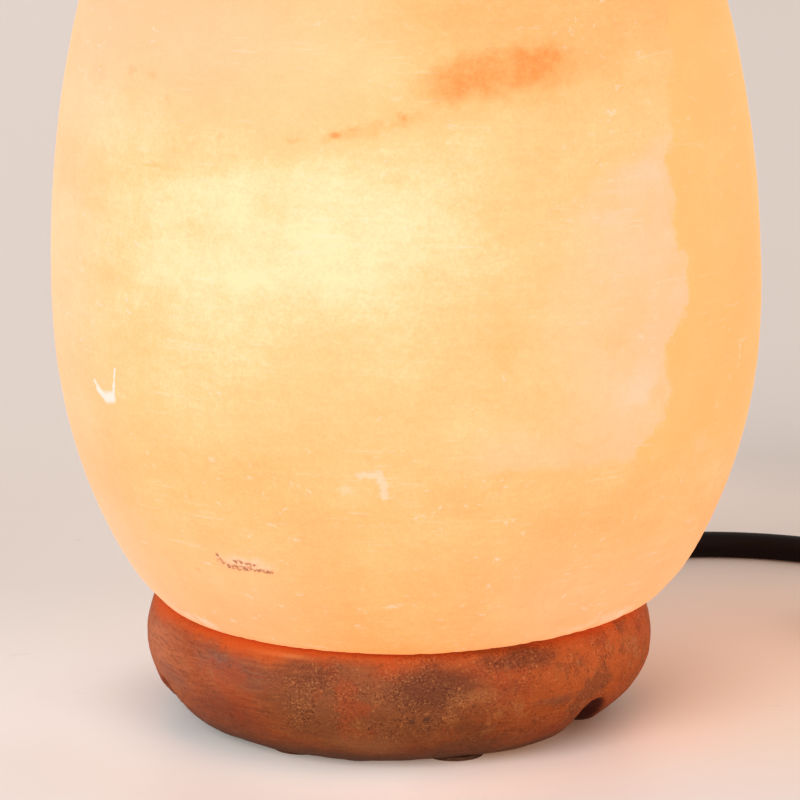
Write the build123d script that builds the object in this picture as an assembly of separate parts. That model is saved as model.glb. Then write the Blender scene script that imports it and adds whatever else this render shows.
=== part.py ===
from build123d import *
import os
from math import cos, pi, radians, sin, sqrt, tan

# Salt crystal lamp: a turned egg of rock salt on a hollowed wooden foot, lit by a bulb in a spring-held
# lamp holder, with a round mains cord, an inline rocker switch, a coil of spare cord and a two-pin plug.
#
# Millimetres, +Z up, the front faces -Y. The origin is on the table top, in the middle of the foot.
# The bulb, its holder and the bore in the crystal share the foot's axis; the crystal itself leans a little.

# ---- driving dimensions -------------------------------------------------------------------------------

# Clearances
soft_gap = 0.3        # between separate pieces that aren't a fit
fit_gap = 0.05        # radial, round a pin, a guided button or a screw in its plug
seat_gap = 0.1        # between pieces that press on each other
cut_past = 1.0        # how far a cutter runs out of the solid it cuts

# Salt crystal
crystal_r = 71.7              # at its widest
crystal_widest_above_foot = 62.9
crystal_lower_h = 91.0        # half height of the ellipse below the widest level
crystal_upper_h = 134.8       # and above it
quarter_ellipse = 0.5523      # of a half axis, how far a Bezier handle reaches to draw a quarter ellipse
crystal_lean = 1.04           # degrees, the tip towards -X
crystal_offset_x = 2.7        # of the crystal's axis from the foot's, where they meet
crystal_foot_round = 6.0
bore_r = 25.0
bore_depth = 122.0
bore_end_round = 8.0

# Wooden foot
base_r = 52.0
base_h = 25.0                 # its top above the table
base_side_round = 17.0
base_top_round = 1.5
base_hole_r = 20.5
pocket_r = 27.0
pocket_depth = 16.4
channel_w = 8.6
channel_count = 3
channel_first = 82.0          # degrees from +X, where the cord comes out
channel_end_r = 50.0          # where the cord leaves the foot

# Felt pads and screws under the foot
pad_t = 0.8
pad_r = 6.0
pad_circle_r = 33.5
pad_spread = 27.0             # degrees to each side of a screw
screw_circle_r = 34.0
screw_r = 2.0
screw_head_r = 4.0
screw_head_h = 2.4
screw_sink = 0.4
screw_in_crystal = 18.2
screw_tip_h = 4.0
screw_cross = (5.2, 0.9, 1.4)  # recess in the head: length, width, depth
plug_wall = 1.5
plug_length = 20.0

# Lamp holder
plate_r = 26.4
plate_t = 1.2
plate_vent_r = 3.0
plate_vent_circle_r = 15.5
plate_vents = 6
nipple_r = 5.0
nipple_bore_r = 3.8
nipple_stub = 0.6             # beyond the nut
nipple_inside = 1.6           # above the holder's floor
nut_flats = 14.0
nut_t = 3.0
clip_w = 14.0
clip_t = 0.6
clip_bend_r = 2.0
clip_half_w = 15.5            # flat part between the wings
clip_shoulder = (18.0, 7.5)   # out and up from the flat part, past the hole in the foot
clip_wing = (22.8, 20.5)      # the widest place
clip_tip = (19.5, 30.0)
socket_r = 13.5
socket_wall = 2.0
socket_base_h = 18.0
skirt_h = 26.0
skirt_floor_t = 3.5
skirt_bore_r = 7.2
grip_h = 3.0
grip_r = 8.0
terminal_size = (5.0, 6.0, 5.0)
terminal_x = 8.0
terminal_screw_r = 1.4
terminal_screw_head_r = 2.2
core_r = 0.9                  # insulated cores inside the cord
core_bend_r = 1.2
core_spread = 1.5
button_r = 2.6
button_h = 2.6
button_stem_r = 1.0
button_stem_h = 3.0
spring_mean_r = 1.9
spring_wire_r = 0.3
spring_turns = 3
spring_h = 4.0
contact_strip_t = 0.5
contact_strip_w = 4.0

# Bulb, with a 14 mm screw cap
cap_r = 6.9
cap_root_r = 6.2
cap_wall = 0.4
thread_pitch = 2.82
cap_threads = 5
collar_r = 8.6
collar_h = 3.0
tip_r = 2.6
tip_h = 1.2
insulator_h = 3.6
insulator_low_r = 4.0
glass_r = 17.5
glass_wall = 0.8
neck_r = 7.7
neck_h = 5.0
belly_above_neck = 28.0
glass_above_belly = 38.0
stem_r = 3.5
stem_flare_r = 6.4
stem_h = 20.0
support_r = 0.35
support_spread = 8.0
support_h = 20.0              # above the stem
filament_r = 0.25
filament_rise = 4.0

# Cord
cord_r = 3.1
cord_bend_r = 9.0             # where it turns from the holder into the channel

# Inline switch
switch_x = 224.0
switch_top_y = 60.5           # where the cord from the lamp goes into its sleeve
switch_l = 62.0
switch_w = 22.0
switch_h = 17.0
switch_plan_r = 8.0
switch_wall = 1.8
switch_split_h = 7.5          # also the height of the cord in it
switch_top_round = 3.0
switch_foot_round = 1.5
boot_l = 22.0
boot_thick_r = 6.0
boot_thin_r = 4.2
boot_neck_r = 4.6
boot_flange_r = 5.6
boot_flange_t = 1.6
jacket_inside = 8.0           # cord jacket inside the housing
saddle_w = 5.0
saddle_l = 13.0
saddle_h = 5.0
rocker_r = 10.7
rocker_w = 10.6
rocker_below = 2.5
rocker_end_h = 6.0
rocker_mid_h = 4.2
rocker_tilt = 8.0             # degrees each way
pivot_h = 13.0
pivot_r = 1.25
pivot_l = 17.0
bearing_l = 5.0
bridge_size = (15.0, 4.0, 0.6)
strip_size = (9.0, 5.0, 0.8)
strip_x = 8.5
strip_top_h = 8.6
link_section = (2.0, 2.0)
link_y = -3.7
link_to_jacket = 6.2          # room for the core that drops from the cord's jacket to the link
case_screw_x = 18.0
case_screw_y = 5.9
case_screw_r = 1.4
case_screw_head_r = 2.6
case_screw_head_h = 1.8
case_screw_l = 11.0

# Coil of spare cord
coil_x = 160.0
coil_y = -41.5
coil_outer_r = 45.0           # centre line of the widest turn
coil_pitch = 6.7              # from turn to turn, and from layer to layer
coil_turns = 5.25
coil_start = -90.0            # degrees from +X; the turns go clockwise seen from above
tie_t = 1.0
tie_w = 5.0
tie_angle = 45.0
tie_head = (7.0, 6.0, 3.0)

# Plug
plug_mouth_y = 13.0           # where the cord goes into its sleeve
plug_sleeve_l = 22.0
plug_body_l = 32.0
plug_w = 35.3
plug_t = 13.7
plug_rear_w = 15.0
plug_shoulder_l = 14.0
plug_edge_round = 3.5
pin_spread = 18.6
pin_r = 2.0
pin_root_r = 1.4
pin_root_l = 10.0
pin_l = 19.0
pin_sleeve_l = 10.0
pin_sleeve_r = 1.75
pin_end_round = 1.4

# ---- places that follow from them ---------------------------------------------------------------------

pocket_top = pad_t + pocket_depth
screw_length = base_h - pad_t - screw_sink + screw_in_crystal
channel_z = cord_r                       # the cord lies on the table in its channel
channel_angles = [channel_first + 360 / channel_count * i for i in range(channel_count)]
screw_angles = [a + 180 / channel_count for a in channel_angles]
crystal_mid_h = base_h + crystal_widest_above_foot
bore_top = base_h + bore_depth

plate_low = pocket_top - plate_t
nut_low = plate_low - nut_t
nipple_low = nut_low - nipple_stub
socket_low = pocket_top + clip_t
socket_floor = socket_low + socket_wall
nipple_top = socket_floor + nipple_inside
skirt_low = socket_low + socket_base_h
skirt_top = skirt_low + skirt_h
skirt_floor = skirt_low + skirt_floor_t
jacket_top = nipple_top + grip_h + soft_gap
seat_top = skirt_low
button_low = seat_top + spring_h
button_top = button_low + button_h

tip_low = button_top + seat_gap
insulator_low = tip_low + tip_h
cap_low = insulator_low + insulator_h
cap_threads_top = cap_low + cap_threads * thread_pitch
collar_low = skirt_top + soft_gap
collar_top = collar_low + (collar_r - cap_r) + collar_h
neck_low = collar_low + (collar_r - cap_r)
belly_h = neck_low + neck_h + belly_above_neck
glass_top = belly_h + glass_above_belly
stem_top = neck_low + stem_h

switch_mid_y = switch_top_y - boot_l - switch_l / 2
switch_low_y = switch_top_y - 2 * boot_l - switch_l
jacket_end = switch_l / 2 - jacket_inside - switch_wall
link_l = 2 * (jacket_end - link_to_jacket)
coil_z = tie_t + seat_gap + cord_r
plug_x = coil_x - coil_outer_r
plug_z = plug_t / 2

print("bulb comes out by", round(thread_pitch, 3), "mm a turn about the axis through", (0, 0, tip_low))
print("rocker turns about", (switch_x, switch_mid_y, pivot_h))

# ---- helpers ------------------------------------------------------------------------------------------

BOTTOM = (Align.CENTER, Align.CENTER, Align.MIN)


def rod(radius, low, high, x=0.0, y=0.0):
    """An upright cylinder between two heights."""
    return Pos(x, y, low) * Cylinder(radius, high - low, align=BOTTOM)


def ring(outer, inner, low, high, x=0.0, y=0.0):
    """An upright tube between two heights."""
    return rod(outer, low, high, x, y) - rod(inner, low - cut_past, high + cut_past, x, y)


def block(length, width, low, high, x=0.0, y=0.0):
    """A box between two heights, centred on a point."""
    return Pos(x, y, low) * Box(length, width, high - low, align=BOTTOM)


def cone(low_r, high_r, low, high, x=0.0, y=0.0):
    """An upright cone between two heights."""
    return Pos(x, y, low) * Cone(low_r, high_r, high - low, align=BOTTOM)


def bar_x(radius, start, end, y=0.0, z=0.0):
    """A cylinder along X."""
    return Pos(start, y, z) * Rot(0, 90, 0) * Cylinder(radius, end - start, align=BOTTOM)


def bar_y(radius, start, end, x=0.0, z=0.0):
    """A cylinder along Y."""
    return Pos(x, start, z) * Rot(-90, 0, 0) * Cylinder(radius, end - start, align=BOTTOM)


def lathe(*lines):
    """The solid turned from a profile of lines drawn in X and Z."""
    return revolve(make_face([Plane.XZ * line for line in lines]), Axis.Z)


def lathe_points(*points):
    """The solid turned from a closed profile of straight lines."""
    return lathe(Polyline(*points, close=True))


def at_angle(angle, solid):
    """A solid drawn along +X, turned about Z."""
    return Rot(0, 0, angle) * solid


def bend_radii(points):
    """For each corner of a route, the largest arc that leaves a tenth of the shorter run straight."""
    corners = [Vector(*p) for p in points]
    radii = []
    for before, corner, after in zip(corners, corners[1:], corners[2:]):
        turn = radians((corner - before).get_angle(after - corner))
        run = min((corner - before).length, (after - corner).length)
        radii.append(0.45 * run / tan(turn / 2))
    return radii


def tube(path, radius):
    """A round tube along a path."""
    return sweep(Plane(path @ 0, z_dir=path % 0) * Circle(radius), path=path)


def cord_tube(name, points):
    """A stretch of free cord: straight runs joined by tangent arcs."""
    radii = bend_radii(points)
    path = FilletPolyline(*points, radius=radii)
    solid = tube(path, cord_r)
    expected = pi * cord_r**2 * path.length
    print(name, "length", round(path.length, 1), "radii", [round(r) for r in radii],
          "volume ratio", round(solid.volume / expected, 4))
    return solid


def biarc(start, start_dir, end, end_dir):
    """Two arcs, tangent where they join, between two points with given directions."""
    span = end - start
    both = start_dir + end_dir
    square = both.dot(both) - 4
    reach = (span.dot(both) - sqrt(span.dot(both) ** 2 - square * span.dot(span))) / square
    first = start + start_dir * reach
    second = end - end_dir * reach
    join = (first + second) * 0.5
    join_dir = (second - first).normalized()
    return [Edge.make_tangent_arc(start, start_dir, join), Edge.make_tangent_arc(join, join_dir, end)]


def wound_wire(place, turns, lead):
    """A wire of quarter-turn biarcs through a winding's formula, with a straight lead at each end."""
    step = 1e-4
    stations = [i / 4 for i in range(round(turns * 4) + 1)]
    points = [place(t) for t in stations]
    ways = [(place(t + step) - place(t - step)).normalized() for t in stations]
    edges = []
    for i in range(len(stations) - 1):
        edges += biarc(points[i], ways[i], points[i + 1], ways[i + 1])
    if lead:
        edges.insert(0, Edge.make_line(points[0] - ways[0] * lead, points[0]))
        edges.append(Edge.make_line(points[-1], points[-1] + ways[-1] * lead))
    return Wire(edges)


# ---- the crystal and the foot ---------------------------------------------------------------------------

def channel(angle):
    """The cutter of one round-topped channel under the foot, from its middle out past its side."""
    length = base_r + cut_past
    top = bar_x(channel_w / 2, 0, length, z=channel_z)
    below = Pos(0, 0, -cut_past) * Box(length, channel_w, channel_z + cut_past,
                                       align=(Align.MIN, Align.CENTER, Align.MIN))
    return at_angle(angle, top + below)


def screw(clear):
    """A countersunk wood screw, or with a clearance the hole for it."""
    low = pad_t + screw_sink
    head_top = low + screw_head_h
    shank_top = low + screw_length - screw_tip_h
    head = cone(screw_head_r + clear, screw_r + clear, low, head_top)
    shank = rod(screw_r + clear, low, shank_top)
    tip = cone(screw_r + clear, clear + fit_gap, shank_top, low + screw_length + clear)
    return head + shank + tip


def make_salt_crystal():
    bottom = crystal_mid_h - crystal_lower_h
    top = crystal_mid_h + crystal_upper_h
    near_axis = quarter_ellipse * crystal_r
    lower = Bezier((0, bottom), (near_axis, bottom),
                   (crystal_r, crystal_mid_h - quarter_ellipse * crystal_lower_h), (crystal_r, crystal_mid_h))
    upper = Bezier((crystal_r, crystal_mid_h), (crystal_r, crystal_mid_h + quarter_ellipse * crystal_upper_h),
                   (near_axis, top), (0, top))
    egg = lathe(lower, upper, Line((0, top), (0, bottom)))
    egg = Pos(crystal_offset_x, 0, base_h) * Rot(0, -crystal_lean, 0) * Pos(0, 0, -base_h) * egg
    size = 4 * crystal_r
    egg -= block(size, size, base_h - size, base_h)
    foot_edges = egg.faces().sort_by(Axis.Z)[0].edges()
    egg = fillet(foot_edges, crystal_foot_round)
    bore = rod(bore_r, base_h - cut_past, bore_top)
    bore = fillet(bore.edges().group_by(Axis.Z)[-1], bore_end_round)
    egg -= bore
    hole_top = base_h + soft_gap + plug_length + soft_gap
    for angle in screw_angles:
        egg -= at_angle(angle, rod(screw_r + plug_wall + fit_gap, base_h - cut_past, hole_top, screw_circle_r))
    return egg


def make_wooden_base():
    flat_r = base_r - base_side_round
    rise = base_side_round - pad_t
    foot_r = flat_r + sqrt(base_side_round**2 - rise**2)
    above = base_h - base_side_round
    top_r = flat_r + sqrt(base_side_round**2 - above**2)
    side = ThreePointArc((foot_r, pad_t), (base_r, base_side_round), (top_r, base_h))
    rest = Polyline((top_r, base_h), (0, base_h), (0, pad_t), (foot_r, pad_t))
    foot = lathe(side, rest)
    foot = fillet(foot.faces().sort_by(Axis.Z)[-1].edges(), base_top_round)
    foot -= rod(base_hole_r, -cut_past, base_h + cut_past)
    foot -= rod(pocket_r, -cut_past, pocket_top)
    for angle in channel_angles:
        foot -= channel(angle)
    for angle in screw_angles:
        foot -= at_angle(angle, Pos(screw_circle_r, 0, 0) * screw(seat_gap))
        foot -= at_angle(angle, rod(screw_head_r + seat_gap, -cut_past, pad_t + screw_sink, screw_circle_r))
    return foot


def make_base_pads():
    angles = [a + side * pad_spread for a in screw_angles for side in (-1, 1)]
    return [at_angle(a, rod(pad_r, 0, pad_t, pad_circle_r)) for a in angles]


def make_base_screws():
    length, width, depth = screw_cross
    low = pad_t + screw_sink
    recess = block(length, width, low - cut_past, low + depth) + block(width, length, low - cut_past, low + depth)
    return [at_angle(a, Pos(screw_circle_r, 0, 0) * (screw(0) - recess)) for a in screw_angles]


def make_screw_plugs():
    low = base_h + soft_gap
    plug = rod(screw_r + plug_wall, low, low + plug_length, screw_circle_r)
    plug -= Pos(screw_circle_r, 0, 0) * screw(fit_gap)
    return [at_angle(a, plug) for a in screw_angles]


# ---- the lamp holder ------------------------------------------------------------------------------------

def make_holder_plate():
    plate = ring(plate_r, nipple_r + seat_gap, plate_low, pocket_top)
    for i in range(plate_vents):
        hole = rod(plate_vent_r, plate_low - cut_past, pocket_top + cut_past, plate_vent_circle_r)
        plate -= at_angle(360 / plate_vents * i, hole)
    return plate


def make_spring_clip():
    low = pocket_top + clip_t / 2
    wing = [(clip_half_w, 0), clip_shoulder, clip_wing, clip_tip]
    right = [(x, 0, low + z) for x, z in wing]
    left = [(-x, y, z) for x, y, z in reversed(right)]
    path = FilletPolyline(*left, *right, radius=clip_bend_r)
    section = Plane(path @ 0, x_dir=(0, 1, 0), z_dir=path % 0) * Rectangle(clip_w, clip_t)
    clip = sweep(section, path=path)
    return clip - rod(nipple_r + seat_gap, pocket_top - cut_past, socket_low + cut_past)


def make_holder_nipple():
    return ring(nipple_r, nipple_bore_r, nipple_low, nipple_top)


def make_holder_nut():
    nut = extrude(RegularPolygon(nut_flats / 2, 6, major_radius=False), nut_t)
    return Pos(0, 0, nut_low) * nut - rod(nipple_r + fit_gap, nut_low - cut_past, plate_low + cut_past)


def make_socket_base():
    cup = rod(socket_r, socket_low, skirt_low)
    cup -= rod(socket_r - socket_wall, socket_floor, skirt_low + cut_past)
    return cup - rod(nipple_r + fit_gap, socket_low - cut_past, socket_floor + cut_past)


def side_strip_space(clear):
    """The upright contact tongue beside the bulb's cap, or with a clearance its slot in the skirt."""
    near = cap_r + seat_gap
    thick = contact_strip_t + 2 * clear
    low = skirt_low - contact_strip_t - seat_gap if clear == 0 else skirt_low - cut_past
    high = skirt_floor + cap_threads * thread_pitch
    return block(thick, contact_strip_w + 2 * clear, low, high + clear, near + contact_strip_t / 2)


def make_socket_skirt():
    skirt = rod(socket_r, skirt_low, skirt_top)
    skirt -= rod(skirt_bore_r, skirt_floor, skirt_top + cut_past)
    skirt -= rod(button_r + soft_gap, skirt_low - cut_past, skirt_floor + cut_past)
    skirt -= side_strip_space(seat_gap)
    return fillet(skirt.faces().sort_by(Axis.Z)[-1].outer_wire().edges(), socket_wall / 2)


def make_cord_grip():
    low = nipple_top + seat_gap
    return ring(grip_r, cord_r + fit_gap, low, low + grip_h)


def make_terminal_blocks():
    length, width, height = terminal_size
    top = skirt_low - contact_strip_t - seat_gap
    body = block(length, width, top - height, top, terminal_x)
    body -= bar_y(terminal_screw_r + fit_gap, -width, width / 2 - seat_gap, terminal_x, top - height / 2)
    body -= rod(core_r + fit_gap, top - height - cut_past, top - height / 2, terminal_x)
    return [body, Rot(0, 0, 180) * body]


def make_terminal_screws():
    length, width, height = terminal_size
    mid = skirt_low - contact_strip_t - seat_gap - height / 2
    stem = bar_y(terminal_screw_r, -width / 2 - seat_gap, 0, terminal_x, mid)
    head = bar_y(terminal_screw_head_r, -width / 2 - seat_gap - terminal_screw_r,
                 -width / 2 - seat_gap, terminal_x, mid)
    return [stem + head, Rot(0, 0, 180) * (stem + head)]


def make_socket_wires():
    terminal_low = skirt_low - contact_strip_t - seat_gap - terminal_size[2]
    wire_end = terminal_low + terminal_size[2] / 2 - terminal_screw_r - seat_gap
    turn_h = (jacket_top + terminal_low) / 2
    points = [(core_spread, 0, jacket_top), (core_spread, 0, turn_h - core_r),
              (terminal_x, 0, turn_h + core_r), (terminal_x, 0, wire_end)]
    core = tube(FilletPolyline(*points, radius=core_bend_r), core_r)
    return [core, Rot(0, 0, 180) * core]


def make_side_contact():
    return side_strip_space(0)


def make_contact_seat():
    disc = rod(button_r + 2 * contact_strip_t, seat_top - contact_strip_t, seat_top)
    reach = terminal_x + terminal_size[0] / 2
    arm = Pos(-reach, 0, seat_top - contact_strip_t) * Box(reach, contact_strip_w, contact_strip_t,
                                                           align=(Align.MIN, Align.CENTER, Align.MIN))
    return disc + arm


def make_contact_spring():
    low = seat_top + spring_wire_r
    rise = (spring_h - 2 * spring_wire_r) / spring_turns

    def place(turn):
        angle = 2 * pi * turn
        return Vector(spring_mean_r * cos(angle), spring_mean_r * sin(angle), low + rise * turn)

    print("contact spring's gap from turn to turn", round(rise - 2 * spring_wire_r, 2))
    return tube(wound_wire(place, spring_turns, 0), spring_wire_r)


def make_centre_contact():
    head = rod(button_r, button_low + fit_gap, button_top)
    head = fillet(head.edges().group_by(Axis.Z)[-1], button_h / 4)
    return head + rod(button_stem_r, button_low - button_stem_h, button_low + button_h / 2)


# ---- the bulb --------------------------------------------------------------------------------------------

def make_bulb_cap():
    """A thin brass shell: rounded threads as rings, and a flared collar round the glass."""
    waves = []
    for i in range(cap_threads):
        z = cap_low + i * thread_pitch
        waves.append(ThreePointArc((cap_root_r, z), (cap_r, z + thread_pitch / 2), (cap_root_r, z + thread_pitch)))
    flare = collar_r - cap_r
    outside = Polyline((cap_root_r, cap_threads_top), (cap_r, cap_threads_top + fit_gap), (cap_r, collar_low),
                       (collar_r, collar_low + flare), (collar_r, collar_top),
                       (collar_r - cap_wall, collar_top), (collar_r - cap_wall, collar_low + flare),
                       (cap_r - cap_wall, collar_low), (cap_root_r - cap_wall, cap_threads_top),
                       (cap_root_r - cap_wall, cap_low), (cap_root_r, cap_low))
    return lathe(*waves, outside)


def make_bulb_insulator():
    top_r = cap_root_r - cap_wall - fit_gap
    return lathe_points((0, insulator_low), (insulator_low_r, insulator_low), (top_r, cap_low),
                        (top_r, cap_low + cap_wall * 2), (0, cap_low + cap_wall * 2))


def make_bulb_contact():
    button = rod(tip_r, tip_low, insulator_low)
    return fillet(button.edges().group_by(Axis.Z)[0], tip_h / 3)


def glass_profile(inset):
    """One side of the glass envelope, from its neck to its tip, drawn inwards by an inset."""
    neck = neck_r - inset
    belly = glass_r - inset
    neck_top = neck_low + neck_h
    tip = glass_top - inset
    return [
        Line((neck, neck_low), (neck, neck_top)),
        Bezier((neck, neck_top), (neck, neck_top + 0.4 * belly_above_neck),
               (belly, belly_h - 0.55 * belly_above_neck), (belly, belly_h)),
        Bezier((belly, belly_h), (belly, belly_h + 0.5 * glass_above_belly),
               (0.35 * belly, tip), (0, tip)),
    ]


def make_bulb_glass():
    outside = glass_profile(0)
    inside = glass_profile(glass_wall)
    tip = Line((0, glass_top), (0, glass_top - glass_wall))
    rim = Line((neck_r, neck_low), (neck_r - glass_wall, neck_low))
    return lathe(*outside, *inside, tip, rim)


def make_bulb_stem():
    """The glass foot inside the bulb that holds its wires."""
    flare_top = neck_low + (stem_flare_r - stem_r)
    return lathe_points((0, neck_low), (stem_flare_r, neck_low), (stem_r, flare_top), (stem_r, stem_top),
                        (0, stem_top))


def support_points(side):
    start = cap_low + insulator_h
    spread = side * stem_r / 2
    return [(spread, 0, start), (spread, 0, stem_top + support_r * 4),
            (side * support_spread, 0, stem_top + support_h)]


def make_bulb_supports():
    return [tube(FilletPolyline(*support_points(side), radius=support_r * 6), support_r) for side in (-1, 1)]


def make_bulb_filament():
    height = stem_top + support_h
    reach = support_spread - support_r - filament_r
    arc = ThreePointArc((-reach, 0, height), (0, 0, height + filament_rise), (reach, 0, height))
    return tube(arc, filament_r)


# ---- the cord ---------------------------------------------------------------------------------------------

def exit_point(distance):
    """A point of the cord in its channel, at a distance from the foot's axis."""
    return (distance * cos(radians(channel_first)), distance * sin(radians(channel_first)), cord_r)


def make_cord_in_base():
    points = [(0, 0, jacket_top), (0, 0, cord_r), exit_point(channel_end_r)]
    path = FilletPolyline(*points, radius=cord_bend_r)
    print("cord in the foot, length", round(path.length, 1))
    return tube(path, cord_r)


# From the foot, round behind the lamp and out to its right, on the table, up into the switch.
to_switch = [
    exit_point(channel_end_r),
    exit_point(channel_end_r + 22.7),
    (18.0, 95.0, cord_r),
    (34.0, 114.0, cord_r),
    (58.0, 125.0, cord_r),
    (86.0, 126.2, cord_r),
    (112.0, 113.4, cord_r),
    (138.0, 107.0, cord_r),
    (166.0, 108.0, cord_r),
    (199.0, 106.0, 3.3),
    (215.0, 95.5, 4.8),
    (switch_x, switch_top_y + 18.5, switch_split_h),
    (switch_x, switch_top_y, switch_split_h),
]


def coil_place(turn):
    """The coil's centre line: in on the lower layer, up in the middle half turn, and out on the upper."""
    wound = min(turn, coil_turns - turn)
    radius = coil_outer_r - coil_pitch * wound
    part = min(1.0, max(0.0, (turn - coil_turns / 2) * 2 + 0.5))
    climbed = part * part * (3 - 2 * part)
    angle = radians(coil_start - 360 * turn)
    return Vector(coil_x + radius * cos(angle), coil_y + radius * sin(angle), coil_z + coil_pitch * climbed)


def coil_end(turn, distance):
    """A point a distance on from the coil's start or end, straight along the cord; negative is before."""
    step = 1e-4
    way = (coil_place(turn + step) - coil_place(turn - step)).normalized()
    return tuple(coil_place(turn) + way * distance)


coil_lead = 2 * cord_r
before_coil = 16.0

# From the switch round to the coil, with the last run in line with the coil's first turn.
to_coil = [
    (switch_x, switch_low_y, switch_split_h),
    (switch_x, switch_low_y - 17.0, switch_split_h),
    (215.5, -77.5, 5.2),
    (200.5, -86.5, 4.3),
    coil_end(0, -coil_lead - before_coil),
    coil_end(0, -coil_lead),
]

# From the coil down into the plug's sleeve.
to_plug = [
    coil_end(coil_turns, coil_lead),
    coil_end(coil_turns, coil_lead + 13.0),
    (plug_x, plug_mouth_y - 14.0, plug_z),
    (plug_x, plug_mouth_y, plug_z),
]


def coil_self_gap():
    """The least gap between turns of the coil, measured on points along its centre line."""
    per_turn = 96
    points = [coil_place(i / per_turn) for i in range(int(coil_turns * per_turn) + 1)]
    apart = per_turn // 2
    least = min((points[i] - points[j]).length for i in range(len(points)) for j in range(i + apart, len(points)))
    return least - 2 * cord_r


def make_cord_coil():
    path = wound_wire(coil_place, coil_turns, coil_lead)
    solid = tube(path, cord_r)
    print("coil length", round(path.length, 1), "least gap to itself", round(coil_self_gap(), 2),
          "volume ratio", round(solid.volume / (pi * cord_r**2 * path.length), 4))
    return solid


def make_coil_tie():
    """A flat tie round all the turns, with its head on top."""
    inner_r = coil_outer_r - coil_pitch * coil_turns / 2 - cord_r - soft_gap
    outer_r = coil_outer_r + cord_r + soft_gap
    inner_top = coil_z + coil_pitch + cord_r + seat_gap
    mid = (inner_r + outer_r) / 2
    across = outer_r - inner_r
    band = block(across + 2 * tie_t, tie_w, 0, inner_top + tie_t, mid)
    band = fillet(band.edges().filter_by(Axis.Y), cord_r)
    hole = block(across, tie_w + 2 * cut_past, tie_t, inner_top, mid)
    band -= fillet(hole.edges().filter_by(Axis.Y), cord_r - tie_t)
    length, width, height = tie_head
    head = block(length, width, inner_top + tie_t - seat_gap, inner_top + tie_t + height, mid)
    return Pos(coil_x, coil_y, 0) * at_angle(tie_angle, band + head)


# ---- the switch, drawn along X about its middle, then turned to lie along -Y ---------------------------------

def in_switch(solid):
    return Pos(switch_x, switch_mid_y, 0) * Rot(0, 0, -90) * solid


def switch_case():
    """The closed hollow case, before it is parted into two shells."""
    case = extrude(RectangleRounded(switch_l, switch_w, switch_plan_r), switch_h)
    case = fillet(case.faces().sort_by(Axis.Z)[-1].edges(), switch_top_round)
    case = fillet(case.faces().sort_by(Axis.Z)[0].edges(), switch_foot_round)
    inside = RectangleRounded(switch_l - 2 * switch_wall, switch_w - 2 * switch_wall, switch_plan_r - switch_wall)
    case -= Pos(0, 0, switch_wall) * extrude(inside, switch_h - 2 * switch_wall)
    for side in (-1, 1):
        case += rod(case_screw_head_r, switch_wall - seat_gap, switch_h - switch_wall + seat_gap,
                    side * case_screw_x, side * case_screw_y)
    wall = switch_l / 2 - switch_wall
    for start in (-wall, wall - boot_flange_t - fit_gap):
        case -= bar_x(boot_flange_r + fit_gap, start, start + boot_flange_t + fit_gap, z=switch_split_h)
    return case - bar_x(boot_neck_r + fit_gap, -switch_l, switch_l, z=switch_split_h)


def saddle(low, high, x):
    """A block with a round seat for the cord."""
    seat = bar_x(cord_r + fit_gap, x - saddle_w, x + saddle_w, z=switch_split_h)
    return block(saddle_w, saddle_l, low, high, x) - seat


saddle_x = switch_l / 2 - switch_wall - boot_flange_t - soft_gap - saddle_w / 2


def make_switch_lower_shell():
    size = 2 * switch_l
    shell = switch_case() & block(size, size, 0, switch_split_h)
    for side in (-1, 1):
        shell += saddle(switch_wall - seat_gap, switch_split_h, side * saddle_x)
        x = side * case_screw_x
        y = side * case_screw_y
        shell -= rod(case_screw_r + fit_gap, -cut_past, switch_h, x, y)
        shell -= rod(case_screw_head_r - 2 * soft_gap, -cut_past, case_screw_head_h, x, y)
        post_x = side * strip_x
        shell += block(strip_size[0] / 2, strip_size[1], switch_wall - seat_gap, strip_top_h - strip_size[2], post_x)
    return in_switch(shell)


def make_switch_upper_shell():
    size = 2 * switch_l
    shell = switch_case() & block(size, size, switch_split_h, switch_h)
    opening_l = 2 * (rocker_r + soft_gap)
    opening_w = rocker_w + 2 * soft_gap
    shell -= block(opening_l, opening_w, pivot_h - rocker_r, switch_h + cut_past)
    for side in (-1, 1):
        near = rocker_w / 2 + soft_gap
        far = switch_w / 2 - switch_wall + seat_gap
        y = side * (near + far) / 2
        shell += block(bearing_l, far - near, pivot_h - bearing_l / 2, switch_h - switch_wall + seat_gap, y=y)
        screw_top = case_screw_head_h + case_screw_l
        shell -= rod(case_screw_r + fit_gap, -cut_past, screw_top + soft_gap,
                     side * case_screw_x, side * case_screw_y)
    shell -= bar_y(pivot_r + fit_gap / 2, -pivot_l / 2 - fit_gap, pivot_l / 2 + fit_gap, z=pivot_h)
    return in_switch(shell)


def on_rocker(solid):
    """Placed about the pivot and tilted to where the rocker rests, pressed down on the lamp's side."""
    return in_switch(Pos(0, 0, pivot_h) * Rot(0, -rocker_tilt, 0) * solid)


def make_switch_rocker():
    outline = Polyline((-rocker_r, -rocker_below), (rocker_r, -rocker_below), (rocker_r, rocker_end_h),
                       (0, rocker_mid_h), (-rocker_r, rocker_end_h), close=True)
    body = extrude(Plane.XZ * make_face(outline), rocker_w / 2, both=True)
    body = body & bar_y(rocker_r, -rocker_w, rocker_w)
    body -= bar_y(pivot_r + fit_gap, -rocker_w, rocker_w)
    return on_rocker(body)


def make_rocker_bridge():
    length, width, thick = bridge_size
    return on_rocker(block(length, width, -rocker_below - thick, -rocker_below))


def make_rocker_pin():
    return in_switch(bar_y(pivot_r, -pivot_l / 2, pivot_l / 2, z=pivot_h))


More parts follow.
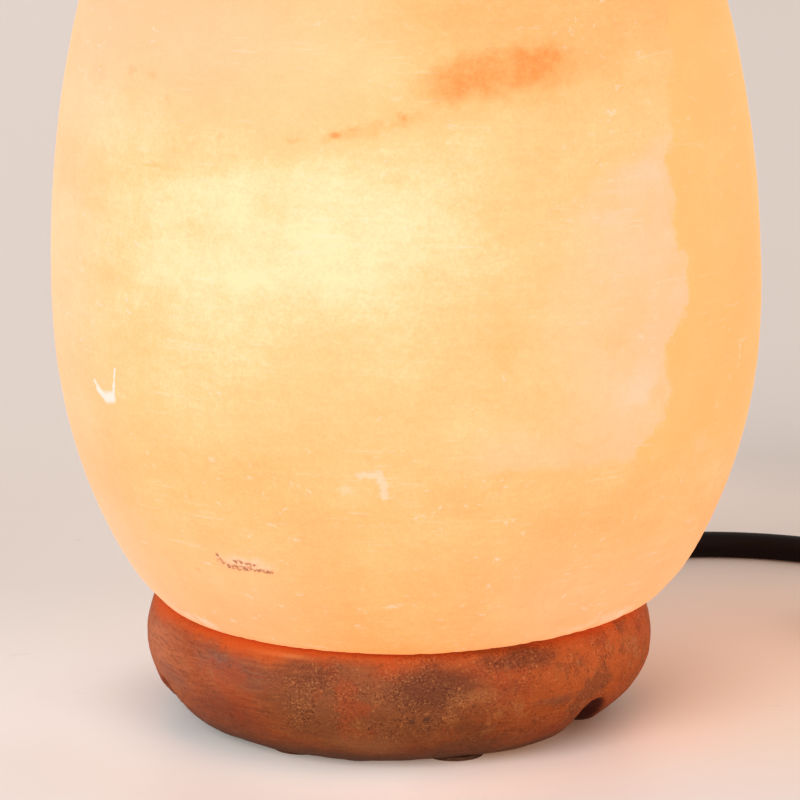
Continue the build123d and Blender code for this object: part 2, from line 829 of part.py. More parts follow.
def make_switch_boots():
    """A tapered ribbed sleeve at each end, held by its flange inside the wall."""
    wall = switch_l / 2 - switch_wall
    end = switch_l / 2 + boot_l
    outline = Polyline((wall - boot_flange_t, 0), (wall - boot_flange_t, boot_flange_r), (wall, boot_flange_r),
                       (wall, boot_neck_r), (switch_l / 2 + fit_gap, boot_neck_r),
                       (switch_l / 2 + fit_gap, boot_thick_r), (end, boot_thin_r), (end, 0), close=True)
    sleeve = Pos(0, 0, switch_split_h) * revolve(make_face(outline), Axis.X)
    sleeve -= bar_x(cord_r + fit_gap, 0, end + cut_past, z=switch_split_h)
    return [in_switch(sleeve), in_switch(Rot(0, 0, 180) * sleeve)]


def make_cord_in_switch():
    end = switch_l / 2 + boot_l
    jacket = bar_x(cord_r, jacket_end, end, z=switch_split_h)
    return [in_switch(jacket), in_switch(Rot(0, 0, 180) * jacket)]


def make_switch_clamps():
    return [in_switch(saddle(switch_split_h + seat_gap, switch_split_h + saddle_h, side * saddle_x))
            for side in (-1, 1)]


def make_switch_contacts():
    length, width, thick = strip_size
    strips = [block(length, width, strip_top_h - thick, strip_top_h, side * strip_x) for side in (-1, 1)]
    link_w, link_h = link_section
    link = block(link_l, link_w, switch_wall, switch_wall + link_h, y=link_y)
    return [in_switch(piece) for piece in strips + [link]]


def make_switch_wires():
    """The cores from the cord's jacket: one to its contact strip, one down to the neutral link."""
    strip_end = strip_x + strip_size[0] / 2
    middle = (jacket_end + strip_end) / 2
    live = [(jacket_end, core_spread, switch_split_h), (middle + core_r, core_spread, switch_split_h),
            (middle - core_r, 0, strip_top_h - core_r), (strip_end, 0, strip_top_h - core_r)]
    link_end = link_l / 2
    drop = [(jacket_end, -core_spread, switch_split_h), (jacket_end - core_r, -core_spread, switch_split_h),
            (link_end + core_r, link_y + core_spread, switch_wall + core_r),
            (link_end, link_y + core_spread, switch_wall + core_r)]
    cores = []
    for points in (live, drop):
        core = tube(FilletPolyline(*points, radius=core_bend_r), core_r)
        cores += [in_switch(core), in_switch(mirror(core, about=Plane.YZ))]
    return cores


def make_switch_screws():
    screws = []
    for side in (-1, 1):
        head = rod(case_screw_head_r - 2 * soft_gap - fit_gap, 0.2, case_screw_head_h)
        stem = rod(case_screw_r, case_screw_head_h - seat_gap, case_screw_head_h + case_screw_l)
        slot = block(switch_w, 0.6, 0, 1.0)
        screws.append(in_switch(Pos(side * case_screw_x, side * case_screw_y, 0) * (head + stem - slot)))
    return screws


# ---- the plug, drawn along X from its sleeve's mouth, then turned to lie along +Y ---------------------------

def in_plug(solid):
    return Pos(plug_x, plug_mouth_y, plug_z) * Rot(0, 0, 90) * solid


def make_plug_body():
    rear = plug_sleeve_l
    face = plug_sleeve_l + plug_body_l
    shoulder = rear + plug_shoulder_l
    outline = Polyline((rear, -plug_rear_w / 2), (shoulder, -plug_w / 2), (face, -plug_w / 2),
                       (face, plug_w / 2), (shoulder, plug_w / 2), (rear, plug_rear_w / 2), close=True)
    body = extrude(make_face(outline), plug_t / 2, both=True)
    body = fillet(body.edges().filter_by(Axis.Z), plug_edge_round)
    rims = body.faces().filter_by(Axis.Z)
    body = fillet([edge for face_ in rims for edge in face_.edges()], plug_edge_round - soft_gap)
    sleeve_line = Polyline((0, 0), (0, boot_thin_r), (rear + plug_edge_round, boot_thick_r),
                           (rear + plug_edge_round, 0), close=True)
    body += revolve(make_face(sleeve_line), Axis.X)
    for side in (-1, 1):
        body -= bar_x(pin_root_r + fit_gap, face - pin_root_l, face + cut_past, y=side * pin_spread / 2)
    return in_plug(body)


def make_plug_pins():
    face = plug_sleeve_l + plug_body_l
    pins = []
    for side in (-1, 1):
        y = side * pin_spread / 2
        root = bar_x(pin_root_r, face - pin_root_l, face + pin_sleeve_l, y)
        tip = bar_x(pin_r, face + pin_sleeve_l, face + pin_l, y)
        tip = fillet(tip.edges().group_by(Axis.X)[-1], pin_end_round)
        pins.append(in_plug(root + tip))
    return pins


def make_plug_sleeves():
    face = plug_sleeve_l + plug_body_l
    sleeves = []
    for side in (-1, 1):
        y = side * pin_spread / 2
        outer = bar_x(pin_sleeve_r, face, face + pin_sleeve_l, y)
        sleeves.append(in_plug(outer - bar_x(pin_root_r + fit_gap / 2, face - cut_past, face + pin_l, y)))
    return sleeves


# ---- write every piece ------------------------------------------------------------------------------------

pieces = {
    "salt_crystal": make_salt_crystal,
    "wooden_base": make_wooden_base,
    "base_pads": make_base_pads,
    "base_screws": make_base_screws,
    "screw_plugs": make_screw_plugs,
    "holder_plate": make_holder_plate,
    "spring_clip": make_spring_clip,
    "holder_nipple": make_holder_nipple,
    "holder_nut": make_holder_nut,
    "socket_base": make_socket_base,
    "socket_skirt": make_socket_skirt,
    "cord_grip": make_cord_grip,
    "terminal_blocks": make_terminal_blocks,
    "terminal_screws": make_terminal_screws,
    "socket_wires": make_socket_wires,
    "side_contact": make_side_contact,
    "contact_seat": make_contact_seat,
    "contact_spring": make_contact_spring,
    "centre_contact": make_centre_contact,
    "bulb_cap": make_bulb_cap,
    "bulb_insulator": make_bulb_insulator,
    "bulb_contact": make_bulb_contact,
    "bulb_glass": make_bulb_glass,
    "bulb_stem": make_bulb_stem,
    "bulb_supports": make_bulb_supports,
    "bulb_filament": make_bulb_filament,
    "cord_in_base": make_cord_in_base,
    "cord_coil": make_cord_coil,
    "coil_tie": make_coil_tie,
    "switch_lower_shell": make_switch_lower_shell,
    "switch_upper_shell": make_switch_upper_shell,
    "switch_rocker": make_switch_rocker,
    "rocker_bridge": make_rocker_bridge,
    "rocker_pin": make_rocker_pin,
    "switch_boots": make_switch_boots,
    "cord_in_switch": make_cord_in_switch,
    "switch_clamps": make_switch_clamps,
    "switch_contacts": make_switch_contacts,
    "switch_wires": make_switch_wires,
    "switch_screws": make_switch_screws,
    "plug_body": make_plug_body,
    "plug_pins": make_plug_pins,
    "plug_sleeves": make_plug_sleeves,
}

os.makedirs("parts", exist_ok=True)
for name, make in pieces.items():
    made = make()
    solids = made if isinstance(made, list) else [made]
    shape = Compound(children=[solid for piece in solids for solid in piece.solids()])
    export_step(shape, f"parts/{name}.step")
for name, route in (("cord_to_switch", to_switch), ("cord_to_coil", to_coil), ("cord_to_plug", to_plug)):
    export_step(cord_tube(name, route), f"parts/{name}.step")
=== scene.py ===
import math
import random

import bmesh
import bpy
import numpy as np
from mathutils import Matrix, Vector, noise


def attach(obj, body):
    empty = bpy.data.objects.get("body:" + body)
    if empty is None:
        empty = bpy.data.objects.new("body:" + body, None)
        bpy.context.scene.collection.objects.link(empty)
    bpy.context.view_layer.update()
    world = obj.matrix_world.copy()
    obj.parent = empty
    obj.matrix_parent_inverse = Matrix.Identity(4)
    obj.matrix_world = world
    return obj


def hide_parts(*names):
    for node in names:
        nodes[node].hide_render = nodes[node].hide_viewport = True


# A lit lamp: an egg of rock salt on a turned wooden foot. Metres, +Z up, the front faces -Y.
# Routes, meshes and the places of marks are written in millimetres and scaled by MM.

MM = 0.001
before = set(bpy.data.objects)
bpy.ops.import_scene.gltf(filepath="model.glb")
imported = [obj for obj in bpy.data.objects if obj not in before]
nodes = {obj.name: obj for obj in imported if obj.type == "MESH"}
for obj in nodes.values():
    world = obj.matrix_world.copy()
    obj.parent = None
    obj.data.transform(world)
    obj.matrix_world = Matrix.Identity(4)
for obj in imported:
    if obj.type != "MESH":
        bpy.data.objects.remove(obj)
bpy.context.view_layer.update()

# ---- camera ----------------------------------------------------------------------------------------

camera_data = bpy.data.cameras.new("camera")
camera_data.sensor_width = 36.0
camera_data.lens = 157.5
camera_data.clip_start = 0.05
camera_data.clip_end = 50.0
camera = bpy.data.objects.new("camera", camera_data)
camera.location = (0.00019, -0.7002, 0.2110)
camera.rotation_euler = (math.radians(78.23), 0.0, 0.0)
bpy.context.scene.collection.objects.link(camera)
bpy.context.scene.camera = camera
bpy.context.scene.view_settings.view_transform = "Standard"

# ---- cords -----------------------------------------------------------------------------------------

CORD_R = 3.1
CHANNEL_FIRST = 82.0            # degrees from +X, where the cord comes out
CHANNEL_END_R = 50.0
SWITCH_X = 224.0
SWITCH_TOP_Y = 60.5
SWITCH_LOW_Y = -45.5
SWITCH_H = 7.5
COIL_X = 160.0
COIL_Y = -41.5
COIL_OUTER_R = 45.0
COIL_PITCH = 6.7
COIL_TURNS = 5.25
COIL_START = -90.0
COIL_Z = 4.2
COIL_PER_TURN = 16
COIL_LEAD = 2 * CORD_R
PLUG_X = COIL_X - COIL_OUTER_R
PLUG_MOUTH_Y = 13.0
PLUG_Z = 6.85


def link(obj):
    bpy.context.scene.collection.objects.link(obj)
    return obj


def exit_point(distance):
    angle = math.radians(CHANNEL_FIRST)
    return (distance * math.cos(angle), distance * math.sin(angle), CORD_R)


def coil_place(turn):
    """The coil's centre line: in on the lower layer, up in the middle half turn, out on the upper."""
    wound = min(turn, COIL_TURNS - turn)
    radius = COIL_OUTER_R - COIL_PITCH * wound
    part = min(1.0, max(0.0, (turn - COIL_TURNS / 2) * 2 + 0.5))
    climbed = part * part * (3 - 2 * part)
    angle = math.radians(COIL_START - 360 * turn)
    return Vector((COIL_X + radius * math.cos(angle), COIL_Y + radius * math.sin(angle),
                   COIL_Z + COIL_PITCH * climbed))


def coil_end(turn, distance):
    step = 1e-4
    way = (coil_place(turn + step) - coil_place(turn - step)).normalized()
    return tuple(coil_place(turn) + way * distance)


def coil_points():
    """Control points of the turns, drawn outwards so that the spline keeps the turns' radius."""
    outwards = 4 / (3 + math.cos(2 * math.pi / COIL_PER_TURN))
    count = round(COIL_TURNS * COIL_PER_TURN)
    points = []
    for i in range(1, count):
        place = coil_place(i / COIL_PER_TURN)
        points.append((COIL_X + (place.x - COIL_X) * outwards,
                       COIL_Y + (place.y - COIL_Y) * outwards, place.z))
    return points


def cord_curve(name, route):
    """A round cord on a smooth spline through a route given in millimetres."""
    data = bpy.data.curves.new(name, "CURVE")
    data.dimensions = "3D"
    data.bevel_depth = 1.0
    data.bevel_resolution = 7
    data.resolution_u = 10
    data.use_fill_caps = True
    spline = data.splines.new("NURBS")
    spline.points.add(len(route) - 1)
    for point, place in zip(spline.points, route):
        point.co = (place[0] * MM, place[1] * MM, place[2] * MM, 1.0)
        point.radius = CORD_R * MM
    spline.order_u = 3
    spline.use_endpoint_u = True
    return link(bpy.data.objects.new(name, data))


to_switch = [
    exit_point(CHANNEL_END_R),
    exit_point(CHANNEL_END_R + 22.7),
    (18.0, 95.0, CORD_R),
    (34.0, 114.0, CORD_R),
    (58.0, 125.0, CORD_R),
    (86.0, 126.2, CORD_R),
    (112.0, 113.4, CORD_R),
    (138.0, 107.0, CORD_R),
    (166.0, 108.0, CORD_R),
    (199.0, 106.0, 3.3),
    (215.0, 95.5, 4.8),
    (SWITCH_X, SWITCH_TOP_Y + 18.5, SWITCH_H),
    (SWITCH_X, SWITCH_TOP_Y, SWITCH_H),
]
to_coil = [
    (SWITCH_X, SWITCH_LOW_Y, SWITCH_H),
    (SWITCH_X, SWITCH_LOW_Y - 17.0, SWITCH_H),
    (215.5, -77.5, 5.2),
    (200.5, -86.5, 4.3),
    coil_end(0, -COIL_LEAD - 16.0),
    coil_end(0, -COIL_LEAD),
]
to_plug = [
    coil_end(COIL_TURNS, COIL_LEAD),
    coil_end(COIL_TURNS, COIL_LEAD + 13.0),
    (PLUG_X, PLUG_MOUTH_Y - 14.0, PLUG_Z),
    (PLUG_X, PLUG_MOUTH_Y, PLUG_Z),
]

lamp_cord = cord_curve("lamp_cord", to_switch)
spare_cord = cord_curve("spare_cord", to_coil + coil_points() + to_plug)
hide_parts("cord_to_switch")
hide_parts("cord_to_coil", "cord_coil", "cord_to_plug")
for cord_piece in (lamp_cord, spare_cord):
    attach(cord_piece, "lamp")

# ---- node helpers ----------------------------------------------------------------------------------


class Nodes:
    """A node tree, with short ways to add what the materials and the world need."""

    def __init__(self, tree):
        self.tree = tree

    def put(self, socket, value):
        if isinstance(value, bpy.types.NodeSocket):
            self.tree.links.new(value, socket)
        elif isinstance(value, (tuple, list)) and socket.type == "RGBA" and len(value) == 3:
            socket.default_value = (*value, 1.0)
        else:
            socket.default_value = value

    def add(self, kind, *values, **settings):
        node = self.tree.nodes.new(kind)
        for key, value in settings.items():
            setattr(node, key, value)
        for socket, value in zip(node.inputs, values):
            if value is not None:
                self.put(socket, value)
        return node

    def math(self, operation, a, b=None, c=None, clamp=False):
        return self.add("ShaderNodeMath", a, b, c, operation=operation, use_clamp=clamp).outputs[0]

    def times(self, *values):
        product = values[0]
        for value in values[1:]:
            product = self.math("MULTIPLY", product, value)
        return product

    def plus(self, a, b, clamp=False):
        return self.math("ADD", a, b, clamp=clamp)

    def minus(self, a, b):
        return self.math("SUBTRACT", a, b)

    def most(self, *values):
        top = values[0]
        for value in values[1:]:
            top = self.math("MAXIMUM", top, value)
        return top

    def raised(self, base, *parts, clamp=False):
        """The base with (mask, amount) parts added to it."""
        for mask, amount in parts:
            base = self.plus(base, self.times(mask, amount), clamp)
        return base

    def seen(self):
        """1 for what the camera, a reflection or glass shows, 0 for the light that falls on things."""
        rays = self.add("ShaderNodeLightPath").outputs
        shown = self.plus(rays["Is Camera Ray"], rays["Is Glossy Ray"])
        return self.plus(shown, rays["Is Transmission Ray"], clamp=True)


class Material(Nodes):
    """A material whose marks sit at places on the object."""

    def __init__(self, name):
        self.material = bpy.data.materials.new(name)
        self.material.use_nodes = True
        super().__init__(self.material.node_tree)
        self.shader = self.tree.nodes["Principled BSDF"]
        self.place = self.add("ShaderNodeTexCoord").outputs["Object"]

    def finish(self, **inputs):
        for key, value in inputs.items():
            self.put(self.shader.inputs[key.replace("_", " ")], value)
        return self.material

    def vector(self, operation, a, b=None):
        node = self.add("ShaderNodeVectorMath", a, b, operation=operation)
        return node.outputs["Value" if operation in ("LENGTH", "DISTANCE", "DOT_PRODUCT") else "Vector"]

    def parts(self, vector):
        return self.add("ShaderNodeSeparateXYZ", vector).outputs[:3]

    def scaled(self, scale, vector=None):
        return self.vector("MULTIPLY", self.place if vector is None else vector, scale)

    def flat(self):
        return self.scaled((1.0, 1.0, 0.0))

    def noise(self, scale, detail=3.0, roughness=0.5, vector=None, distortion=0.0, color=False):
        """Noise of one scale, or of a scale for each axis."""
        if isinstance(scale, tuple):
            vector, scale = self.scaled(scale, vector), 1.0
        node = self.add("ShaderNodeTexNoise")
        self.put(node.inputs["Vector"], self.place if vector is None else vector)
        self.put(node.inputs["Scale"], scale)
        self.put(node.inputs["Detail"], detail)
        self.put(node.inputs["Roughness"], roughness)
        self.put(node.inputs["Distortion"], distortion)
        return node.outputs["Color" if color else "Fac"]

    def shift(self, scale, detail, roughness):
        """A noise vector round zero."""
        return self.vector("SUBTRACT", self.noise(scale, detail, roughness, color=True), (0.5, 0.5, 0.5))

    def moved(self, shift, reach):
        return self.vector("ADD", self.place, self.scaled(reach, shift))

    def cells(self, scale, vector):
        node = self.add("ShaderNodeTexVoronoi")
        self.put(node.inputs["Vector"], vector)
        self.put(node.inputs["Scale"], scale)
        return node.outputs["Distance"], node.outputs["Color"]

    def smooth(self, value, low, high, to_low=0.0, to_high=1.0):
        node = self.add("ShaderNodeMapRange", value, low, high, to_low, to_high,
                        interpolation_type="SMOOTHSTEP")
        return node.outputs["Result"]

    def swing(self, value, amount):
        """The middle range of a noise, turned into -amount to amount."""
        return self.smooth(value, 0.3, 0.7, -amount, amount)

    def ramp(self, value, *stops):
        node = self.add("ShaderNodeValToRGB", value)
        ramp = node.color_ramp
        while len(ramp.elements) < len(stops):
            ramp.elements.new(0.5)
        for element, (place, color) in zip(ramp.elements, stops):
            element.position = place
            element.color = (*color, 1.0)
        return node.outputs["Color"]

    def mix(self, amount, a, b, blend="MIX"):
        node = self.add("ShaderNodeMix", data_type="RGBA", blend_type=blend)
        self.put(node.inputs[0], amount)
        self.put(node.inputs[6], a)
        self.put(node.inputs[7], b)
        return node.outputs[2]

    def painted(self, color, *coats):
        """A colour with (mask, amount, tint) coats laid over it in turn."""
        for mask, amount, tint in coats:
            color = self.mix(self.times(mask, amount), color, tint)
        return color

    def bump(self, height, strength, distance):
        node = self.add("ShaderNodeBump")
        self.put(node.inputs["Strength"], strength)
        self.put(node.inputs["Distance"], distance)
        self.put(node.inputs["Height"], height)
        return node.outputs["Normal"]

    def blob(self, centre, radii, soft=1.0, vector=None):
        """1 at a place in millimetres, falling smoothly to 0 at the given radii."""
        place = self.place if vector is None else vector
        offset = self.vector("SUBTRACT", place, tuple(c * MM for c in centre))
        reach = self.vector("LENGTH", self.vector("DIVIDE", offset, tuple(r * MM for r in radii)))
        return self.smooth(reach, 1.0, 1.0 - soft)

    def blobs(self, *rows, vector=None):
        """The strongest of several blobs: centre, radii, softness and, where it isn't 1, strength."""
        return self.most(*(self.times(self.blob(*row[:3], vector), *row[3:]) for row in rows))

    def stroke(self, start, end, width, ragged):
        """1 on a line between two places in millimetres, falling to 0 at its width, with a ragged edge."""
        start, end = Vector(start) * MM, Vector(end) * MM
        along = end - start
        offset = self.vector("SUBTRACT", self.place, tuple(start))
        share = self.math("DIVIDE", self.vector("DOT_PRODUCT", offset, tuple(along)), along.length_squared,
                          clamp=True)
        nearest = self.add("ShaderNodeVectorMath", tuple(along), operation="SCALE")
        self.put(nearest.inputs["Scale"], share)
        away = self.vector("LENGTH", self.vector("SUBTRACT", offset, nearest.outputs["Vector"]))
        jitter = self.minus(self.noise(1300.0, 3.0, 0.7), 0.5)
        away = self.plus(away, self.times(jitter, 4 * ragged * MM))
        return self.smooth(away, width * MM, 0.3 * width * MM)

    def strokes(self, *rows):
        return self.most(*(self.stroke(*row) for row in rows))

    def curve(self, value, low, high, points):
        """A curve through (value from 0 to 1, millimetres) points, between two bounds in metres."""
        node = self.add("ShaderNodeFloatCurve")
        line = node.mapping.curves[0]
        places = [(at, (result * MM - low) / (high - low)) for at, result in points]
        line.points[0].location = places[0]
        line.points[-1].location = places[-1]
        for place in places[1:-1]:
            line.points.new(*place)
        node.mapping.update()
        self.put(node.inputs["Value"], value)
        return self.math("MULTIPLY_ADD", node.outputs["Value"], high - low, low)


# ---- the crystal's material ------------------------------------------------------------------------

SALT_GLOW = ((0.0, (1.20, 0.29, 0.040)), (0.25, (1.32, 0.452, 0.120)), (0.5, (1.36, 0.562, 0.182)),
             (0.75, (1.40, 0.684, 0.268)), (1.0, (1.42, 0.885, 0.445)))
SALT_LEVEL = 0.66               # how strongly the salt gives light
SALT_BODY = (0.20, 0.26, 0.33)  # its colour under other light, as a share of the glow's
PINK_SALT = (1.36, 0.650, 0.370)
CLEAR_SALT = (1.35, 0.575, 0.150)
CHALKY_SALT = (1.35, 0.76, 0.50)
WHITE_SALT = (1.25, 0.94, 0.76)
CRACK_BROWN = (0.42, 0.115, 0.045)
VEIN_SLOPE = 0.24               # the layers rise to the right by this much
LENS_SLOPE = 0.15
EDGE_SPAN = 0.2                 # height over which the slab's edge is drawn
EDGE_LOW, EDGE_HIGH = 0.040, 0.060
SLAB_EDGE = ((0.0, 44.0), (0.328, 44.2), (0.342, 47.4), (0.357, 49.2), (0.392, 50.8), (0.416, 49.8),
             (0.446, 52.2), (0.486, 54.6), (0.510, 54.2), (0.535, 52.0), (0.630, 50.4), (0.73, 51.2),
             (0.88, 50.0), (1.0, 52.0))


def crystal_material():
    """Rock salt lit from inside: cloudy layers and clear veins, glowing most in front of the bulb."""
    t = Material("salt")
    warped = t.moved(t.shift(14.0, 3.0, 0.55), (0.022, 0.022, 0.012))
    ragged = t.moved(t.shift(160.0, 4.0, 0.7), (0.0085, 0.0085, 0.0060))
    x, _, z = t.parts(t.place)
    wx, _, wz = t.parts(warped)
    rx, ry, rz = t.parts(ragged)
    layer = t.minus(wz, t.times(wx, VEIN_SLOPE))

    # How bright the glow is, from 0 to 1
    glow = t.plus(t.smooth(z, 0.018, 0.112, 0.39, 0.82), t.smooth(z, 0.118, 0.215, 0.0, -0.30))
    right = t.times(t.smooth(x, -0.012, 0.046), t.smooth(z, 0.056, 0.104))
    upper = t.times(t.smooth(layer, 0.1255, 0.1315), t.smooth(x, -0.058, -0.020, 0.45, 1.0),
                    t.smooth(x, 0.052, 0.026, 0.35, 1.0))
    glow = t.raised(glow, (t.blob((-20, -66, 106), (44, 50, 32)), 0.11),
                    (t.blob((6, 70, 102), (52, 56, 40)), 0.16),
                    (right, -0.15), (upper, -0.16),
                    (t.blob((8, -62, 150), (30, 44, 17)), -0.10))
    band = t.noise((11.0, 11.0, 46.0), 4.0, 0.6, warped)
    cloud = t.noise(30.0, 5.0, 0.62)
    mottle = t.noise(95.0, 4.0, 0.62, ragged)
    bright = t.plus(t.blob((-12.6, -69.4, 109.4), (7, 9, 4.5)), t.blob((-27, -66, 101), (9, 9, 3.5)))
    for part in (t.smooth(band, 0.25, 0.75, -0.075, 0.075), t.swing(cloud, 0.065),
                 t.swing(mottle, 0.035), t.times(bright, t.smooth(mottle, 0.35, 0.65, 0.0, 0.16))):
        glow = t.plus(glow, part)

    # Clear orange slab on the right behind a ragged edge, and the paler pinkish salt beside it
    beyond = t.minus(rx, t.curve(t.math("DIVIDE", z, EDGE_SPAN), EDGE_LOW, EDGE_HIGH, SLAB_EDGE))
    slab = t.times(t.smooth(beyond, -0.0006, 0.0010), t.smooth(rz, 0.058, 0.068))
    low = t.smooth(rz, 0.0640, 0.0662)
    high = t.smooth(t.minus(rz, t.times(rx, 0.60)), 0.0990, 0.0940)
    inner = t.most(t.smooth(wx, 0.020, 0.044),
                   t.times(t.smooth(wx, 0.008, 0.022), t.smooth(wz, 0.080, 0.068, 0.0, 0.55)))
    pale = t.times(low, high, inner, t.smooth(beyond, 0.0010, -0.0006),
                   t.smooth(mottle, 0.25, 0.65, 0.45, 1.0))
    chalk = t.blobs(((46.0, -55, 79), (8, 12, 8), 1.0), ((47, -52, 120), (5, 8, 4), 1.0),
                    ((38, -59, 112), (10, 9, 2.6), 1.0, 0.8), ((59, -40, 65), (4, 7, 5), 1.0, 0.8),
                    ((52, -48, 96), (3.4, 6, 6), 1.0, 0.8))
    chalk = t.times(chalk, t.smooth(mottle, 0.35, 0.62))
    glow = t.raised(glow, (slab, 0.03), (pale, 0.07))

    # Lens of iron-rich salt rising to the right, with its trail of spots
    tilted = t.add("ShaderNodeCombineXYZ", rx, ry, t.minus(rz, t.times(rx, LENS_SLOPE))).outputs[0]
    lens = t.times(t.blob((17.5, -64, 136.5), (19.5, 24, 6.0), 0.55, tilted),
                   t.smooth(t.noise(210.0, 4.0, 0.7, ragged), 0.30, 0.62, 0.70, 1.0))
    others = t.blobs(((-28, 58, 118), (20, 24, 4.5), 0.6), ((30, 40, 178), (18, 20, 4), 0.7),
                     ((-64, 10, 92), (14, 22, 3.2), 0.7), ((-12, -45, 190), (16, 18, 3.5), 0.8),
                     ((58, 30, 66), (14, 20, 3.0), 0.8), vector=tilted)
    lens = t.most(lens, t.times(others, t.smooth(mottle, 0.35, 0.60, 0.25, 0.85)))
    lobes = t.blobs(((10.0, -66, 135.2), (10.5, 14, 3.6), 0.9),
                    ((27, -61, 137.4), (6.5, 12, 2.0), 0.9, 0.15), vector=tilted)
    haze = t.blob((24, -62, 136.8), (33, 30, 10.5), 1.0, tilted)
    vein = t.math("ABSOLUTE", t.minus(t.minus(rz, t.times(rx, VEIN_SLOPE)), 0.1305))
    trail = t.times(t.smooth(vein, 0.0016, 0.0003), t.smooth(t.noise(120.0, 3.0, 0.6), 0.47, 0.60),
                    t.smooth(x, 0.010, 0.000), t.smooth(x, -0.034, -0.026))
    spots = t.most(
        t.blobs(
            ((-11.6, -67.2, 128.3), (1.6, 6, 0.9), 0.8),
            ((-8.5, -67.6, 129.3), (1.6, 6, 0.45), 1.0, 0.5),
        ),
        t.blobs(
            ((1.1, -67.8, 131.5), (2.0, 6, 1.5), 1.0),
            ((-19.0, -65.6, 127.4), (2.2, 6, 1.0), 1.0, 0.5),
            ((-33.7, -59.2, 126.7), (1.2, 5, 0.9), 1.0, 0.5),
            ((-50.0, -43.1, 137.1), (0.9, 3, 1.9), 1.0, 0.8),
            ((-46.2, -47.4, 136.7), (2.2, 4, 1.6), 1.0, 0.6),
            ((-43.0, -51.4, 132.6), (1.2, 3, 1.0), 1.0, 0.5),
            ((-57.1, -33.3, 136.4), (2.4, 4, 1.9), 1.0, 0.45),
            ((-46.5, -50.7, 120.4), (4.2, 6, 0.9), 1.0, 0.4),
            ((-38.3, -46.8, 41.6), (1.3, 3, 0.8), 1.0, 0.6),
            vector=ragged,
        ),
    )
    distance, tint = t.cells(30.0, ragged)
    stray = t.times(t.smooth(distance, 0.10, 0.0), t.smooth(t.parts(tint)[0], 0.84, 0.90))
    spots = t.raised(spots, (stray, 0.45), clamp=True)
    glow = t.raised(glow, (lens, -0.36), (lobes, -0.16), (haze, -0.07), (trail, -0.14), (spots, -0.42))

    # Turning marks, grains and flecks
    lines = t.noise((80.0, 80.0, 1300.0), 4.0, 0.7, ragged)
    grain = t.noise(1500.0, 3.0, 0.7)
    crumbly = t.noise(520.0, 4.0, 0.65)
    glow = t.plus(t.plus(glow, t.swing(lines, 0.030)), t.swing(grain, 0.048))
    glow = t.plus(glow, t.swing(crumbly, 0.030), clamp=True)
    patchy = t.smooth(t.noise(26.0, 3.0, 0.6), 0.38, 0.62, 0.12, 1.0)
    flecks = t.times(t.smooth(t.noise((380.0, 380.0, 620.0), 3.0, 0.65), 0.62, 0.70), patchy)
    dashes = t.times(t.smooth(t.noise((95.0, 95.0, 1500.0), 3.0, 0.65), 0.60, 0.70),
                     t.smooth(t.noise(60.0, 2.0), 0.44, 0.60))

    # A chipped corner, a hooked scar, a crack with its pale rim, and the bruised edge above the foot
    chips = t.strokes(
        ((-58.9, -37.4, 76.8), (-58.1, -38.4, 75.3), 0.55, 0.25),
        ((-58.1, -38.4, 75.3), (-56.4, -40.6, 74.0), 1.15, 0.25),
        ((-56.4, -40.6, 74.1), (-55.0, -42.6, 74.6), 1.60, 0.30),
        ((-54.9, -42.9, 74.8), (-54.7, -43.6, 77.1), 0.62, 0.25),
        ((-54.7, -43.6, 77.1), (-54.4, -44.3, 80.4), 0.40, 0.2),
    )
    hook = t.strokes(
        ((-7.6, -69.2, 65.2), (-3.9, -69.2, 65.4), 1.0, 0.5),
        ((-3.9, -69.2, 65.4), (-2.8, -68.9, 63.4), 1.3, 0.5),
        ((-2.8, -68.9, 63.4), (-2.7, -68.3, 61.0), 1.1, 0.5),
    )
    hook = t.most(hook, t.times(t.blob((-9.8, -67.7, 61.8), (2.4, 5, 1.8), 1.0, ragged), 0.6))
    crack = t.strokes(
        ((-34.8, -52.0, 45.7), (-33.8, -51.8, 44.2), 0.66, 0.5),
        ((-34.4, -51.6, 44.6), (-32.0, -53.0, 43.5), 0.76, 0.5),
        ((-32.4, -52.6, 43.6), (-28.6, -54.8, 43.7), 0.90, 0.5),
        ((-28.6, -54.8, 43.7), (-24.0, -57.1, 43.4), 0.60, 0.4),
        ((-31.4, -53.8, 45.0), (-27.0, -56.2, 44.6), 0.60, 0.5),
    )
    crack = t.times(crack, t.smooth(t.noise(1500.0, 2.0, 0.6), 0.36, 0.56))
    halo = t.blobs(((-31, -54, 45.0), (6.0, 9, 2.6), 1.0), ((-27, -56, 44.8), (6, 9, 2), 1.0),
                   vector=ragged)
    scratch = t.stroke((-49.9, -35.8, 44.4), (-36.2, -49.5, 43.4), 0.42, 0.3)
    fringe = t.blobs(((-39.5, -34.5, 27.6), (12, 14, 1.7), 0.7), ((43.0, -36.5, 29.6), (6.5, 9, 2.4), 0.8),
                     ((36.0, -42.0, 28.6), (7.0, 8, 1.1), 0.8, 0.5), vector=ragged)
    fringe = t.times(fringe, t.smooth(t.noise(240.0, 4.0, 0.7), 0.36, 0.60, 0.15, 1.0))
    white = t.most(*(t.times(mask, amount) for mask, amount in (
        (flecks, 0.32), (dashes, 0.20), (chips, 0.95), (hook, 0.34), (scratch, 0.35), (fringe, 0.36))))

    around = t.math("DIVIDE", x, t.vector("LENGTH", t.flat()))
    below = t.times(t.smooth(wz, 0.060, 0.036), t.smooth(t.math("ABSOLUTE", x), 0.006, 0.030))
    pink = t.raised(t.times(pale, 0.55), (t.blob((-40, -48, 146), (52, 60, 30)), 0.55),
                    (t.smooth(around, -0.70, -0.97), 0.40), (below, 0.24), clamp=True)
    color = t.painted(t.ramp(glow, *SALT_GLOW), (pink, 1.0, PINK_SALT), (slab, 0.60, CLEAR_SALT),
                      (t.plus(halo, chalk, clamp=True), 0.45, CHALKY_SALT),
                      (white, 1.0, WHITE_SALT), (crack, 0.80, CRACK_BROWN))

